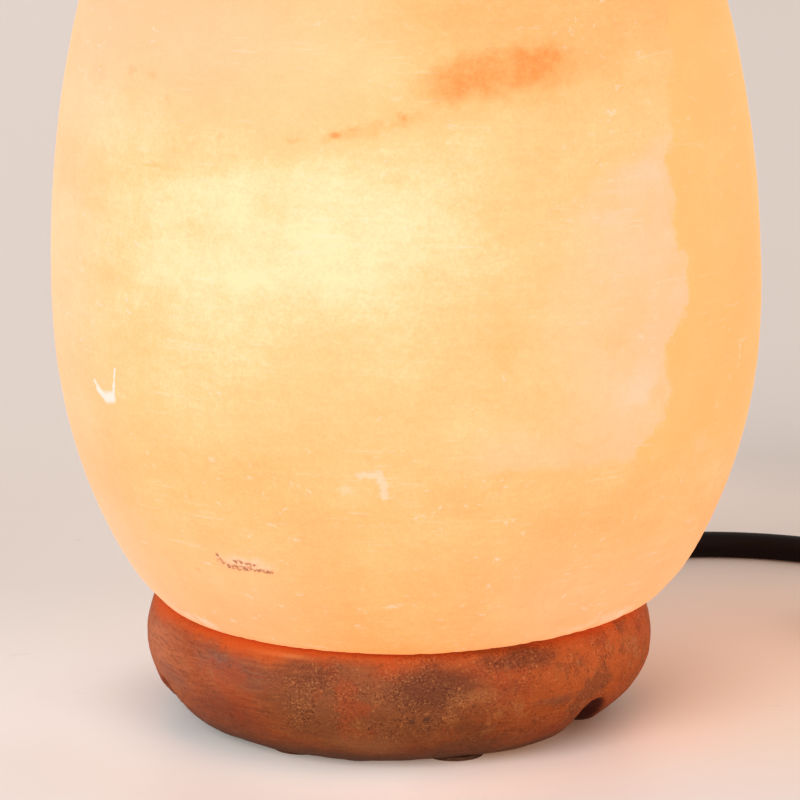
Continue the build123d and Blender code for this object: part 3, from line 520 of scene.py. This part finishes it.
    relief = t.plus(t.times(lines, 0.45), t.times(grain, 0.40))
    relief = t.raised(relief, (t.most(chips, crack, hook), -0.7))
    return t.finish(Base_Color=t.mix(1.0, color, SALT_BODY, "MULTIPLY"), Emission_Color=color,
                    Emission_Strength=SALT_LEVEL, Roughness=t.smooth(grain, 0.2, 0.8, 0.46, 0.64),
                    Specular_IOR_Level=0.3, Normal=t.bump(relief, 0.35, 0.0004))


# ---- the other materials ---------------------------------------------------------------------------

GLOW_SPILL_TINT = (0.13, 0.014, 0.001)    # the crystal's light, painted as a glow in the top of the foot
GLOW_SPILL_LEVEL = 0.5


def wood_material():
    """Stained and oiled wood, scuffed grey and speckled, with the crystal's glow painted red on its top rim
    and painted shade low down and in its channels' mouths.
    """
    t = Material("stained_wood")
    shift = t.shift(60.0, 4.0, 0.6)
    warped = t.moved(shift, (0.011, 0.011, 0.007))
    straight = t.moved(shift, (0.004, 0.004, 0.0022))
    x, _, z = t.parts(t.place)
    wx, _, wz = t.parts(warped)
    reach = t.vector("LENGTH", t.flat())
    fibres = t.noise((120.0, 120.0, 1500.0), 4.0, 0.7, straight)
    brushed = t.noise((260.0, 260.0, 2600.0), 4.0, 0.72, straight)
    streaks = t.noise((34.0, 34.0, 210.0), 4.0, 0.6, warped)
    patches = t.noise(70.0, 4.0, 0.6)
    fine = t.noise((2300.0, 2300.0, 2700.0), 3.0, 0.65)
    coarse = t.noise(1100.0, 4.0, 0.7)

    # Worn, scuffed and darkened areas, and the band where the crystal's glow is painted on the top rim
    scuff = t.blobs(((-32, -39, 19.8), (17, 14, 5.0), 0.8), ((-45, -22, 13.5), (8, 10, 3.6), 0.9, 0.9),
                    vector=warped)
    scuff = t.times(scuff, t.smooth(fibres, 0.34, 0.52))
    dark_fibres = t.times(t.smooth(brushed, 0.50, 0.40), t.smooth(x, 0.010, -0.020, 0.3, 1.0))
    centre = t.blob((-6, -50, 14.5), (33, 16, 13), 0.6, warped)
    brown = t.times(t.smooth(t.noise(120.0, 4.0, 0.62), 0.50, 0.62), t.smooth(wx, 0.002, 0.012))
    rusty = t.smooth(t.noise(85.0, 4.0, 0.62, warped), 0.52, 0.62)
    beige = t.times(t.smooth(t.noise(160.0, 4.0, 0.66, straight), 0.54, 0.66),
                    t.smooth(x, -0.020, 0.012, 0.25, 1.0))
    knots = t.blobs(((4.2, -50.3, 12.6), (1.1, 4, 1.0), 0.8), ((7.0, -50, 13.0), (1.0, 4, 0.9), 0.8),
                    vector=warped)
    glow_rim = t.times(t.smooth(wz, 0.0218, 0.0248), t.smooth(x, 0.026, -0.026, 0.12, 1.0))
    dark_zone = t.blobs(((7, -50, 19.6), (12, 11, 6.4), 0.6), ((23.5, -44.7, 22.8), (11, 10, 2.8), 0.7, 0.9),
                        ((-16, -48, 20.0), (9, 7, 4.6), 0.9, 0.60), vector=warped)

    # Pores, specks and crumbs
    speckled = t.times(t.most(centre, dark_zone, t.smooth(x, -0.012, 0.012, 0.15, 0.75)),
                       t.smooth(t.noise(150.0, 4.0, 0.65), 0.38, 0.62, 0.25, 1.0))
    pores = t.times(t.smooth(fine, 0.48, 0.40), speckled)
    pits = t.times(t.smooth(coarse, 0.42, 0.34), t.smooth(patches, 0.35, 0.60, 0.25, 1.0))
    light = t.times(t.smooth(fine, 0.575, 0.655), speckled,
                    t.smooth(t.noise(95.0, 3.0, 0.6), 0.38, 0.60, 0.25, 1.0))
    crumbs = t.times(t.smooth(coarse, 0.60, 0.68), t.smooth(x, -0.030, 0.000, 0.2, 1.0))

    color = t.ramp(streaks, (0.28, (0.215, 0.048, 0.020)), (0.5, (0.330, 0.076, 0.026)),
                   (0.72, (0.45, 0.115, 0.035)))
    color = t.painted(
        color,
        (t.smooth(patches, 0.42, 0.62), 0.55, (0.35, 0.068, 0.021)),
        (t.smooth(fibres, 0.45, 0.62), 0.38, (0.54, 0.155, 0.052)),
        (t.blob((-49, -12, 18), (11, 26, 13), 0.9, warped), 0.75, (0.58, 0.180, 0.082)),
        (t.blob((-35, -36, 10.5), (15, 15, 6.5), 0.8, warped), 0.75, (0.250, 0.055, 0.028)),
        (t.blob((-34, -37, 16.2), (11, 11, 3.4), 0.9, warped), 0.75, (0.46, 0.130, 0.046)),
        (scuff, 0.74, (0.215, 0.098, 0.070)),
        (dark_fibres, 0.50, (0.170, 0.045, 0.024)),
        (centre, 0.80, (0.235, 0.082, 0.040)),
        (t.smooth(wx, 0.008, 0.046), 0.78, (0.60, 0.122, 0.028)),
        (brown, 0.65, (0.215, 0.068, 0.030)),
        (rusty, 0.50, (0.37, 0.060, 0.020)),
        (beige, 0.45, (0.50, 0.190, 0.078)),
        (t.blob((14.7, -48.3, 16.2), (7.5, 7, 2.6), 0.9, warped), 0.50, (0.44, 0.160, 0.066)),
        (t.blob((29, -41, 13.5), (8.5, 8, 1.7), 0.9, warped), 0.60, (0.205, 0.080, 0.052)),
        (knots, 0.75, (0.080, 0.034, 0.026)),
        # a painted highlight along a ridge at the top left
        (t.blob((-24, -45, 24.0), (11, 9, 0.8), 0.9), 0.60, (0.72, 0.330, 0.150)),
        # painted light: the crystal's red glow on the top rim
        (glow_rim, 0.80, (0.50, 0.078, 0.010)),
        (dark_zone, 0.74, (0.130, 0.038, 0.022)),
        (pores, 0.85, (0.075, 0.018, 0.011)),
        (pits, 0.55, (0.105, 0.032, 0.020)),
        (light, 0.65, (0.68, 0.31, 0.14)),
        (crumbs, 0.45, (0.66, 0.27, 0.11)),
        # painted shade: darker towards the bottom of the foot
        (t.smooth(wz, 0.0110, 0.0040), 0.35, (0.150, 0.056, 0.032)),
        (t.smooth(wz, 0.0065, 0.0020), 0.70, (0.100, 0.050, 0.034)),
        (t.blob((-8, -50.5, 6.0), (14, 8, 4.5), 0.9, warped), 0.60, (0.42, 0.175, 0.095)),
    )
    lower = t.times(t.smooth(z, 0.021, 0.009), t.smooth(x, -0.048, -0.030))
    middle = t.times(t.smooth(x, -0.040, -0.020), t.smooth(x, 0.042, 0.028))
    for mask, tint in ((lower, (0.80, 0.77, 0.62)), (middle, (0.97, 0.90, 0.70)),
                       (t.smooth(x, 0.028, 0.042), (1.16, 1.10, 0.95))):
        color = t.mix(mask, color, tint, "MULTIPLY")
    # painted shade inside the channels' worn mouths, over a dark stain
    section = t.add("ShaderNodeCombineXYZ", t.minus(reach, 0.035), t.minus(z, 0.017), 0.0)
    channel_shade = t.times(t.smooth(t.vector("LENGTH", section.outputs[0]), 0.0166, 0.0150),
                     t.smooth(z, 0.0135, 0.0115))
    color = t.painted(color, (channel_shade, 0.93, (0.050, 0.007, 0.004)))

    relief = t.raised(t.times(fine, 0.45), (coarse, 0.55), (fibres, 0.35))
    # painted light: the top rim of the wood glows with the crystal's light
    glow_spill = t.times(glow_rim, t.smooth(reach, 0.028, 0.031))
    return t.finish(Base_Color=color, Emission_Color=t.mix(glow_spill, (0.0, 0.0, 0.0), GLOW_SPILL_TINT),
                    Emission_Strength=GLOW_SPILL_LEVEL, Roughness=t.smooth(coarse, 0.3, 0.7, 0.80, 0.58),
                    Specular_IOR_Level=0.10, Normal=t.bump(relief, 0.65, 0.0005))


def moulded_material(name, color, roughness, grain_scale=1500.0, grain=0.25, specular=0.5):
    """Moulded plastic or rubber with a fine grain and dust."""
    t = Material(name)
    dust = t.noise(90.0, 4.0, 0.65)
    shade = tuple(min(1.0, c * 1.5 + 0.002) for c in color)
    tone = t.mix(t.smooth(dust, 0.45, 0.75, 0.0, 0.6), color, shade)
    return t.finish(Base_Color=tone, Specular_IOR_Level=specular,
                    Roughness=t.smooth(dust, 0.3, 0.7, roughness - 0.06, roughness + 0.08),
                    Normal=t.bump(t.noise(grain_scale, 3.0, 0.6), grain, 0.0002))


def metal_material(name, color, roughness, brushed=(60.0, 60.0, 1200.0)):
    """Metal with fine drawing marks and slight tarnish."""
    t = Material(name)
    marks = t.noise(brushed, 3.0, 0.6)
    tarnish = t.noise(160.0, 4.0, 0.6)
    dull = tuple(c * 0.55 for c in color)
    return t.finish(Base_Color=t.mix(t.smooth(tarnish, 0.5, 0.8, 0.0, 0.55), color, dull), Metallic=1.0,
                    Roughness=t.smooth(marks, 0.3, 0.7, roughness - 0.08, roughness + 0.10),
                    Normal=t.bump(marks, 0.15, 0.0001))


def glass_material():
    """Clear glass with a faint haze."""
    t = Material("bulb_glass")
    haze = t.noise(60.0, 3.0, 0.6)
    return t.finish(Base_Color=(0.97, 0.97, 0.95), Roughness=t.smooth(haze, 0.4, 0.8, 0.02, 0.06),
                    Transmission_Weight=1.0, IOR=1.45)


def felt_material():
    # painted shade: the felt is as dark as the shadow under the foot, so that the pads pass for it
    t = Material("felt")
    fibre = t.noise((900.0, 2600.0, 900.0), 4.0, 0.7)
    color = t.ramp(fibre, (0.3, (0.085, 0.030, 0.015)), (0.7, (0.200, 0.080, 0.042)))
    return t.finish(Base_Color=color, Roughness=0.95, Specular_IOR_Level=0.1,
                    Normal=t.bump(fibre, 0.6, 0.0005))


def hot_wire_material():
    t = Material("hot_wire")
    coil = t.noise((5000.0, 10.0, 10.0), 2.0, 0.5)
    color = t.ramp(coil, (0.3, (1.0, 0.50, 0.16)), (0.7, (1.0, 0.74, 0.40)))
    return t.finish(Base_Color=color, Emission_Color=color, Emission_Strength=6.0, Roughness=0.5)


# ---- mesh helpers ----------------------------------------------------------------------------------


def mesh_object(name, vertices, faces):
    data = bpy.data.meshes.new(name)
    data.from_pydata([tuple(v) for v in vertices], [], faces)
    data.update()
    return link(bpy.data.objects.new(name, data))


def shade_smooth(mesh):
    for polygon in mesh.polygons:
        polygon.use_smooth = True


def strip(start, rows, around, inwards=False):
    """Quads between rows of points that each go round once."""
    faces = []
    for row in range(rows - 1):
        for i in range(around):
            a = start + row * around + i
            b = start + row * around + (i + 1) % around
            faces.append((a, a + around, b + around, b) if inwards else (a, b, b + around, a + around))
    return faces


def noise_at(points, scale, octaves):
    return np.array([noise.fractal(Vector(p) * scale, 1.0, 2.0, octaves) for p in points])


# ---- the crystal -----------------------------------------------------------------------------------

CRYSTAL_R = 71.7
MID_H = 87.9
LOWER_H = 91.0
UPPER_H = 134.8
LEAN = math.radians(1.04)
OFFSET_X = 2.7
BASE_H = 25.0
FOOT_ARC_R = 6.0
FOOT_ARC_CENTRE = (48.77, 31.0)
FOOT_ARC_TOP = 27.58
BORE_R = 25.0
BORE_TOP = 147.0
BORE_ROUND = 8.0
AROUND = 512
FOOT_ROWS, LOWER_ROWS, UPPER_ROWS = 10, 90, 190
BORE_ROWS, BORE_END_ROWS = 24, 8
DENTS = 46
DENT_SEED = 11
EDGE_WEAR_H = 26.0              # middle of the worn edge above the foot
DRAWN_IN_H = 24.5               # the crystal is drawn in most at this height
DRAWN_IN_SPAN = 6.0             # and hardly at all at twice this above it


def outer_profile():
    """Rows of the crystal's outside from the edge of its foot to its tip: radius and height."""
    rows = []
    sweep = math.asin((FOOT_ARC_CENTRE[1] - FOOT_ARC_TOP) / FOOT_ARC_R)
    for i in range(FOOT_ROWS):
        angle = -math.pi / 2 + (math.pi / 2 - sweep) * i / FOOT_ROWS
        rows.append((FOOT_ARC_CENTRE[0] + FOOT_ARC_R * math.cos(angle),
                     FOOT_ARC_CENTRE[1] + FOOT_ARC_R * math.sin(angle)))
    low = math.asin((FOOT_ARC_TOP - MID_H) / LOWER_H)
    for i in range(LOWER_ROWS):
        angle = low * (1 - i / LOWER_ROWS)
        rows.append((CRYSTAL_R * math.cos(angle), MID_H + LOWER_H * math.sin(angle)))
    for i in range(UPPER_ROWS):
        angle = math.pi / 2 * i / UPPER_ROWS
        rows.append((CRYSTAL_R * math.cos(angle), MID_H + UPPER_H * math.sin(angle)))
    return rows


def bore_profile():
    """Rows of the bore from its mouth to the middle of its rounded end."""
    straight = BORE_TOP - BORE_ROUND - BASE_H
    rows = [(BORE_R, BASE_H + straight * i / BORE_ROWS) for i in range(BORE_ROWS + 1)]
    for i in range(1, BORE_END_ROWS + 1):
        angle = math.pi / 2 * i / BORE_END_ROWS
        rows.append((BORE_R - BORE_ROUND + BORE_ROUND * math.cos(angle),
                     BORE_TOP - BORE_ROUND + BORE_ROUND * math.sin(angle)))
    rows += [(10.0, BORE_TOP), (3.0, BORE_TOP)]
    return rows


def lean(points):
    """Offsets and leans points as the crystal stands on its foot."""
    x, y, z = points[:, 0], points[:, 1], points[:, 2] - BASE_H
    c, s = math.cos(LEAN), math.sin(LEAN)
    return np.stack([OFFSET_X + c * x - s * z, y, BASE_H + s * x + c * z], axis=1)


def rings(profile, unit):
    return np.concatenate([np.column_stack([unit * radius, np.full(AROUND, height)])
                           for radius, height in profile])


def surface_wear(outer):
    """How far each point of the crystal's outside lies out from the plain egg, in millimetres."""
    heights = outer[:, 2]
    push = 0.16 * noise_at(outer, 0.020, 3) + 0.05 * noise_at(outer * (1, 1, 9), 0.05, 3)
    rng = random.Random(DENT_SEED)
    for _ in range(DENTS):
        angle, height = rng.uniform(0, 2 * math.pi), rng.uniform(32, 214)
        level = (height - MID_H) / (UPPER_H if height > MID_H else LOWER_H)
        ring_r = CRYSTAL_R * math.sqrt(max(0.0, 1 - level * level))
        centre = np.array([ring_r * math.cos(angle), ring_r * math.sin(angle), height])
        size = rng.uniform(1.2, 3.6)
        away = (outer - centre) * (1.0, 1.0, rng.uniform(1.0, 2.2))
        push -= rng.uniform(0.10, 0.30) * np.exp(-(away**2).sum(axis=1) / size**2)
    edge = np.exp(-((heights - EDGE_WEAR_H) / 2.0) ** 2)
    push -= 0.30 * np.clip(noise_at(outer * (1, 1, 0.6), 0.35, 4), 0, 0.8) * edge
    radius = np.hypot(outer[:, 0], outer[:, 1])
    sideways = np.abs(outer[:, 0]) / radius
    drawn_in = 0.25 + (1.05 + 0.13 * np.sign(outer[:, 0])) * sideways
    push -= drawn_in * np.exp(-((heights - DRAWN_IN_H) / DRAWN_IN_SPAN) ** 2)
    return push * np.clip(radius / 6.0, 0, 1)


def make_crystal():
    angles = np.linspace(0, 2 * math.pi, AROUND, endpoint=False)
    unit = np.stack([np.cos(angles), np.sin(angles)], axis=1)
    outer = rings(outer_profile(), unit)
    radius = np.hypot(outer[:, 0], outer[:, 1])
    out = np.column_stack([outer[:, :2] / radius[:, None], np.zeros(len(outer))])
    slope = np.where(outer[:, 2] > MID_H, CRYSTAL_R**2 / UPPER_H**2, CRYSTAL_R**2 / LOWER_H**2)
    out[:, 2] = (outer[:, 2] - MID_H) / np.maximum(radius, 1e-3) * slope
    out /= np.linalg.norm(out, axis=1)[:, None]
    outer = outer + out * surface_wear(outer)[:, None]
    outer[:, 2] = np.maximum(outer[:, 2], BASE_H + 0.02)
    outer = lean(outer)
    outer[:, 2] = np.maximum(outer[:, 2], BASE_H)
    tip = lean(np.array([[0.0, 0.0, MID_H + UPPER_H]]))
    inner = rings(bore_profile(), unit)

    vertices = np.concatenate([outer, tip, inner, [[0.0, 0.0, BORE_TOP]]]) * MM
    tip_index = len(outer)
    bore_index = tip_index + 1
    end_index = bore_index + len(inner)
    following = [(i, (i + 1) % AROUND) for i in range(AROUND)]
    faces = strip(0, len(outer) // AROUND, AROUND)
    last = tip_index - AROUND
    faces += [(last + i, last + j, tip_index) for i, j in following]
    faces += [(bore_index + i, bore_index + j, j, i) for i, j in following]
    faces += strip(bore_index, len(inner) // AROUND, AROUND, inwards=True)
    last = end_index - AROUND
    faces += [(last + j, last + i, end_index) for i, j in following]
    piece = mesh_object("crystal", vertices, faces)
    shade_smooth(piece.data)
    return piece


# ---- the foot --------------------------------------------------------------------------------------

# Angle of each worn mouth, whether its slope is mirrored, and its height as a share of the section's
MOUTHS = ((82.0, False, 0.9), (199.0, False, 0.98), (322.0, True, 0.90))
MOUTH_SECTION = ((4.4, -2.0), (4.4, 7.0), (3.6, 9.6), (1.6, 11.0), (-1.4, 11.0), (-3.6, 10.0),
                 (-5.6, 8.0), (-7.6, 5.4), (-9.6, 3.4), (-12.5, 1.6), (-15.0, -2.0))
MOUTH_ROWS = ((33.0, 0.66), (40.0, 0.70), (45.0, 0.84), (48.5, 1.0), (60.0, 1.12))
MOUTH_START_R = MOUTH_ROWS[0][0]
MOUTH_WIDENING = 15.0           # from its narrow inner end, the mouth is at full width after this
CHANNEL_HALF_W = 4.4
FOOT_VOXEL = 0.7
FOOT_LOW, FOOT_HIGH = 0.5, 24.98


def mouth_cutter(angle, mirrored, depth):
    """Wear at the mouth of a channel: steep on one side, sloping out on the other."""
    turned = math.radians(angle)
    vertices = []
    for reach, tall in MOUTH_ROWS:
        for across, height in MOUTH_SECTION:
            across *= 0.55 + 0.45 * min(1.0, max(0.0, (reach - MOUTH_START_R) / MOUTH_WIDENING))
            across = min(across, CHANNEL_HALF_W) * (-1 if mirrored else 1)
            vertices.append(((reach * math.cos(turned) - across * math.sin(turned)) * MM,
                             (reach * math.sin(turned) + across * math.cos(turned)) * MM,
                             (height * tall * depth if height > 0 else height) * MM))
    count, rows = len(MOUTH_SECTION), len(MOUTH_ROWS)
    faces = [tuple(range(count))[::-1], tuple(range((rows - 1) * count, rows * count))]
    faces += strip(0, rows, count)
    piece = mesh_object("mouth_cutter", vertices, faces)
    shell = bmesh.new()
    shell.from_mesh(piece.data)
    bmesh.ops.recalc_face_normals(shell, faces=shell.faces)
    shell.to_mesh(piece.data)
    shell.free()
    return piece


def modify(piece, kind, **settings):
    modifier = piece.modifiers.new(kind.lower(), kind)
    for key, value in settings.items():
        setattr(modifier, key, value)


def vectors(vertices, key):
    values = np.empty(len(vertices) * 3)
    vertices.foreach_get(key, values)
    return values.reshape(-1, 3)


def make_foot():
    """The foot's own solid, worn at its channels' mouths, remeshed finely and dented as if turned by hand."""
    source = nodes["wooden_base"]
    data = source.data.copy()
    data.transform(source.matrix_world)
    data.name = "foot"
    piece = link(bpy.data.objects.new("foot", data))
    modify(piece, "WELD", merge_threshold=1e-6)
    cutters = [mouth_cutter(*mouth) for mouth in MOUTHS]
    for cutter in cutters:
        modify(piece, "BOOLEAN", operation="DIFFERENCE", solver="EXACT", object=cutter)
    modify(piece, "REMESH", mode="VOXEL", voxel_size=FOOT_VOXEL * MM)
    modify(piece, "SMOOTH", factor=0.5, iterations=4)
    made = bpy.data.meshes.new_from_object(piece.evaluated_get(bpy.context.evaluated_depsgraph_get()))
    piece.modifiers.clear()
    piece.data = made
    for cutter in cutters:
        bpy.data.objects.remove(cutter)

    places = vectors(made.vertices, "co") / MM
    normals = vectors(made.vertices, "normal")
    reach = np.hypot(places[:, 0], places[:, 1])
    outside = np.clip((reach - 30.0) / 8.0, 0, 1) * np.clip((25.2 - places[:, 2]) / 1.0, 0, 1)
    push = 0.40 * noise_at(places, 0.045, 3) + 0.10 * noise_at(places, 0.25, 3)
    right = np.clip(places[:, 0] / 40.0, 0, 1) * np.clip((14.0 - places[:, 2]) / 9.0, 0, 1)
    places = places + normals * ((push - 0.9 * right) * outside)[:, None]
    places[:, 2] = np.clip(places[:, 2], FOOT_LOW, FOOT_HIGH)
    made.vertices.foreach_set("co", (places * MM).ravel())
    shade_smooth(made)
    made.materials.clear()
    made.update()
    return piece


crystal = make_crystal()
crystal.data.materials.append(crystal_material())
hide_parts("salt_crystal")
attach(crystal, "lamp")

foot = make_foot()
foot.data.materials.append(wood_material())
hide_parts("wooden_base")
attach(foot, "lamp")

# ---- materials of the pieces that keep their solids ------------------------------------------------

# black rubber with a dark red tint: a painted reflection of the glowing crystal
rubber = moulded_material("rubber", (0.0065, 0.0014, 0.0008), 0.50, specular=0.11)
black = moulded_material("black_plastic", (0.012, 0.011, 0.011), 0.38, specular=0.35)
thermoset = moulded_material("thermoset", (0.022, 0.020, 0.019), 0.30, 700.0, 0.15)
white_plastic = moulded_material("white_plastic", (0.74, 0.72, 0.68), 0.45)
wire_skin = moulded_material("wire_skin", (0.20, 0.09, 0.04), 0.35)
blue_skin = moulded_material("blue_skin", (0.03, 0.09, 0.32), 0.35)
steel = metal_material("steel", (0.60, 0.60, 0.60), 0.34)
spring_steel = metal_material("spring_steel", (0.64, 0.64, 0.66), 0.26)
brass = metal_material("brass", (0.78, 0.58, 0.26), 0.28)
nickel = metal_material("nickel", (0.76, 0.74, 0.70), 0.20, (900.0, 60.0, 900.0))
enamel = moulded_material("black_glass", (0.006, 0.006, 0.007), 0.12, 300.0, 0.05)

lamp_cord.data.materials.append(rubber)
spare_cord.data.materials.append(rubber)

FINISHES = {
    rubber: ["cord_in_base", "cord_in_switch", "switch_boots"],
    black: ["switch_lower_shell", "switch_upper_shell", "switch_rocker", "plug_body", "plug_sleeves",
            "coil_tie", "switch_clamps", "cord_grip"],
    thermoset: ["socket_base", "socket_skirt"],
    white_plastic: ["screw_plugs"],
    wire_skin: ["socket_wires"],
    blue_skin: ["switch_wires"],
    steel: ["base_screws", "holder_plate", "holder_nipple", "holder_nut", "terminal_screws", "rocker_pin",
            "switch_screws", "bulb_supports", "bulb_contact"],
    spring_steel: ["spring_clip", "contact_spring"],
    brass: ["terminal_blocks", "side_contact", "contact_seat", "centre_contact", "bulb_cap", "rocker_bridge",
            "switch_contacts"],
    nickel: ["plug_pins"],
    glass_material(): ["bulb_glass", "bulb_stem"],
    enamel: ["bulb_insulator"],
    felt_material(): ["base_pads"],
    hot_wire_material(): ["bulb_filament"],
}
for finish, names in FINISHES.items():
    for name in names:
        for slot in nodes[name].material_slots:
            slot.material = finish

# ---- floor, world and lights -----------------------------------------------------------------------

FLOOR_R = 9.0
FLOOR_SIDES = 96
SOFT_LIGHT = ((1.0, 0.97, 0.95), 0.52)
SEEN_WORLD = (0.78, 0.71, 0.65)


def floor_material():
    """A pale, faintly glossy table top, lightest in front, with the lamp's warm glow painted on it to the
    lamp's right and painted shade further off to the right.
    """
    t = Material("floor")
    x, y, _ = t.parts(t.place)
    front = t.vector("DISTANCE", t.flat(), (-0.02, -0.30, 0.0))
    far = t.vector("LENGTH", t.flat())
    color = t.ramp(t.smooth(front, 0.12, 0.75), (0.0, (0.845, 0.790, 0.777)), (0.40, (0.855, 0.795, 0.755)),
                   (0.62, (0.83, 0.735, 0.675)), (1.0, (0.83, 0.73, 0.67)))
    shaded = t.times(t.smooth(x, -0.30, 0.36), t.smooth(far, 0.12, 0.60))
    worn = t.times(t.smooth(t.noise(35.0, 4.0, 0.6), 0.4, 0.8), t.smooth(far, 0.5, 0.2))
    marks = t.times(t.smooth(t.noise((70.0, 330.0, 1.0), 4.0, 0.7, distortion=0.6), 0.665, 0.72),
                    t.smooth(t.noise(18.0, 2.0), 0.50, 0.60))
    color = t.painted(
        color,
        # painted light: the lamp's warm glow on the table to its right, in two patches
        (t.blob((105, 35, 0), (130, 135, 100)), 0.95, (0.945, 0.725, 0.565)),
        (t.blob((52, 8, 0), (44, 54, 60)), 0.85, (0.89, 0.650, 0.490)),
        # painted shade further off to the right
        (shaded, 1.0, (0.765, 0.66, 0.595)),
        (worn, 0.05, (0.72, 0.62, 0.57)),
        (marks, 0.30, (0.50, 0.36, 0.31)),
    )

    # Painted light, seen only by the camera and in reflections: the lamp's glow and lighter shade on the
    # table close in front of its foot, then to its left, right and rear
    near = t.times(t.smooth(far, 0.080, 0.046), t.smooth(y, 0.020, -0.030))
    wide = t.times(t.smooth(far, 0.048, 0.070), t.smooth(far, 0.190, 0.075), t.smooth(x, -0.020, -0.060),
                   t.smooth(y, 0.120, 0.020), t.smooth(y, -0.045, -0.005, 0.3, 1.0))
    lit = t.ramp(t.smooth(x, -0.050, 0.048), (0.0, (0.10, 0.115, 0.110)), (0.18, (0.20, 0.175, 0.150)),
                 (0.5, (0.28, 0.200, 0.160)), (0.82, (0.23, 0.105, 0.048)), (1.0, (0.12, 0.020, 0.0)))
    lit = t.mix(near, (0.0, 0.0, 0.0), lit)
    for mask, tint in ((wide, (0.075, 0.095, 0.100)),
                       (t.blob((82, 60, 0), (62, 85, 60)), (0.085, 0.015, 0.0)),
                       (t.blob((85, 180, 0), (75, 68, 60)), (0.130, 0.085, 0.065))):
        lit = t.mix(mask, lit, tint, "ADD")
    return t.finish(Base_Color=color, Roughness=0.45, Specular_IOR_Level=0.16, Emission_Color=lit,
                    Emission_Strength=t.seen())


def make_floor():
    angles = [2 * math.pi * i / FLOOR_SIDES for i in range(FLOOR_SIDES)]
    vertices = [(FLOOR_R * math.cos(angle), FLOOR_R * math.sin(angle), 0.0) for angle in angles]
    piece = mesh_object("floor", vertices, [tuple(range(FLOOR_SIDES))])
    piece.data.materials.append(floor_material())


def make_world():
    """Soft light from all round, and a warm grey where the world itself shows."""
    world = bpy.data.worlds.new("studio")
    bpy.context.scene.world = world
    world.use_nodes = True
    world.node_tree.nodes.clear()
    t = Nodes(world.node_tree)
    soft = t.add("ShaderNodeBackground", *SOFT_LIGHT)
    shown = t.add("ShaderNodeBackground", SEEN_WORLD, 1.0)
    either = t.add("ShaderNodeMixShader", t.seen(), soft.outputs[0], shown.outputs[0])
    t.add("ShaderNodeOutputWorld", either.outputs[0])


def far_light(name, direction, level, angle):
    """A soft light from far off; level is what it adds to a white floor, where 1 is white."""
    way = Vector(direction).normalized()
    data = bpy.data.lights.new(name, "SUN")
    data.energy = level * math.pi / way.z
    data.angle = math.radians(angle)
    lamp = link(bpy.data.objects.new(name, data))
    lamp.rotation_euler = way.to_track_quat("Z", "Y").to_euler()


make_floor()
make_world()
far_light("key", (-0.42, -0.79, 0.46), 0.30, 36.0)
far_light("fill", (0.60, -0.60, 0.53), 0.09, 50.0)

bpy.context.view_layer.update()
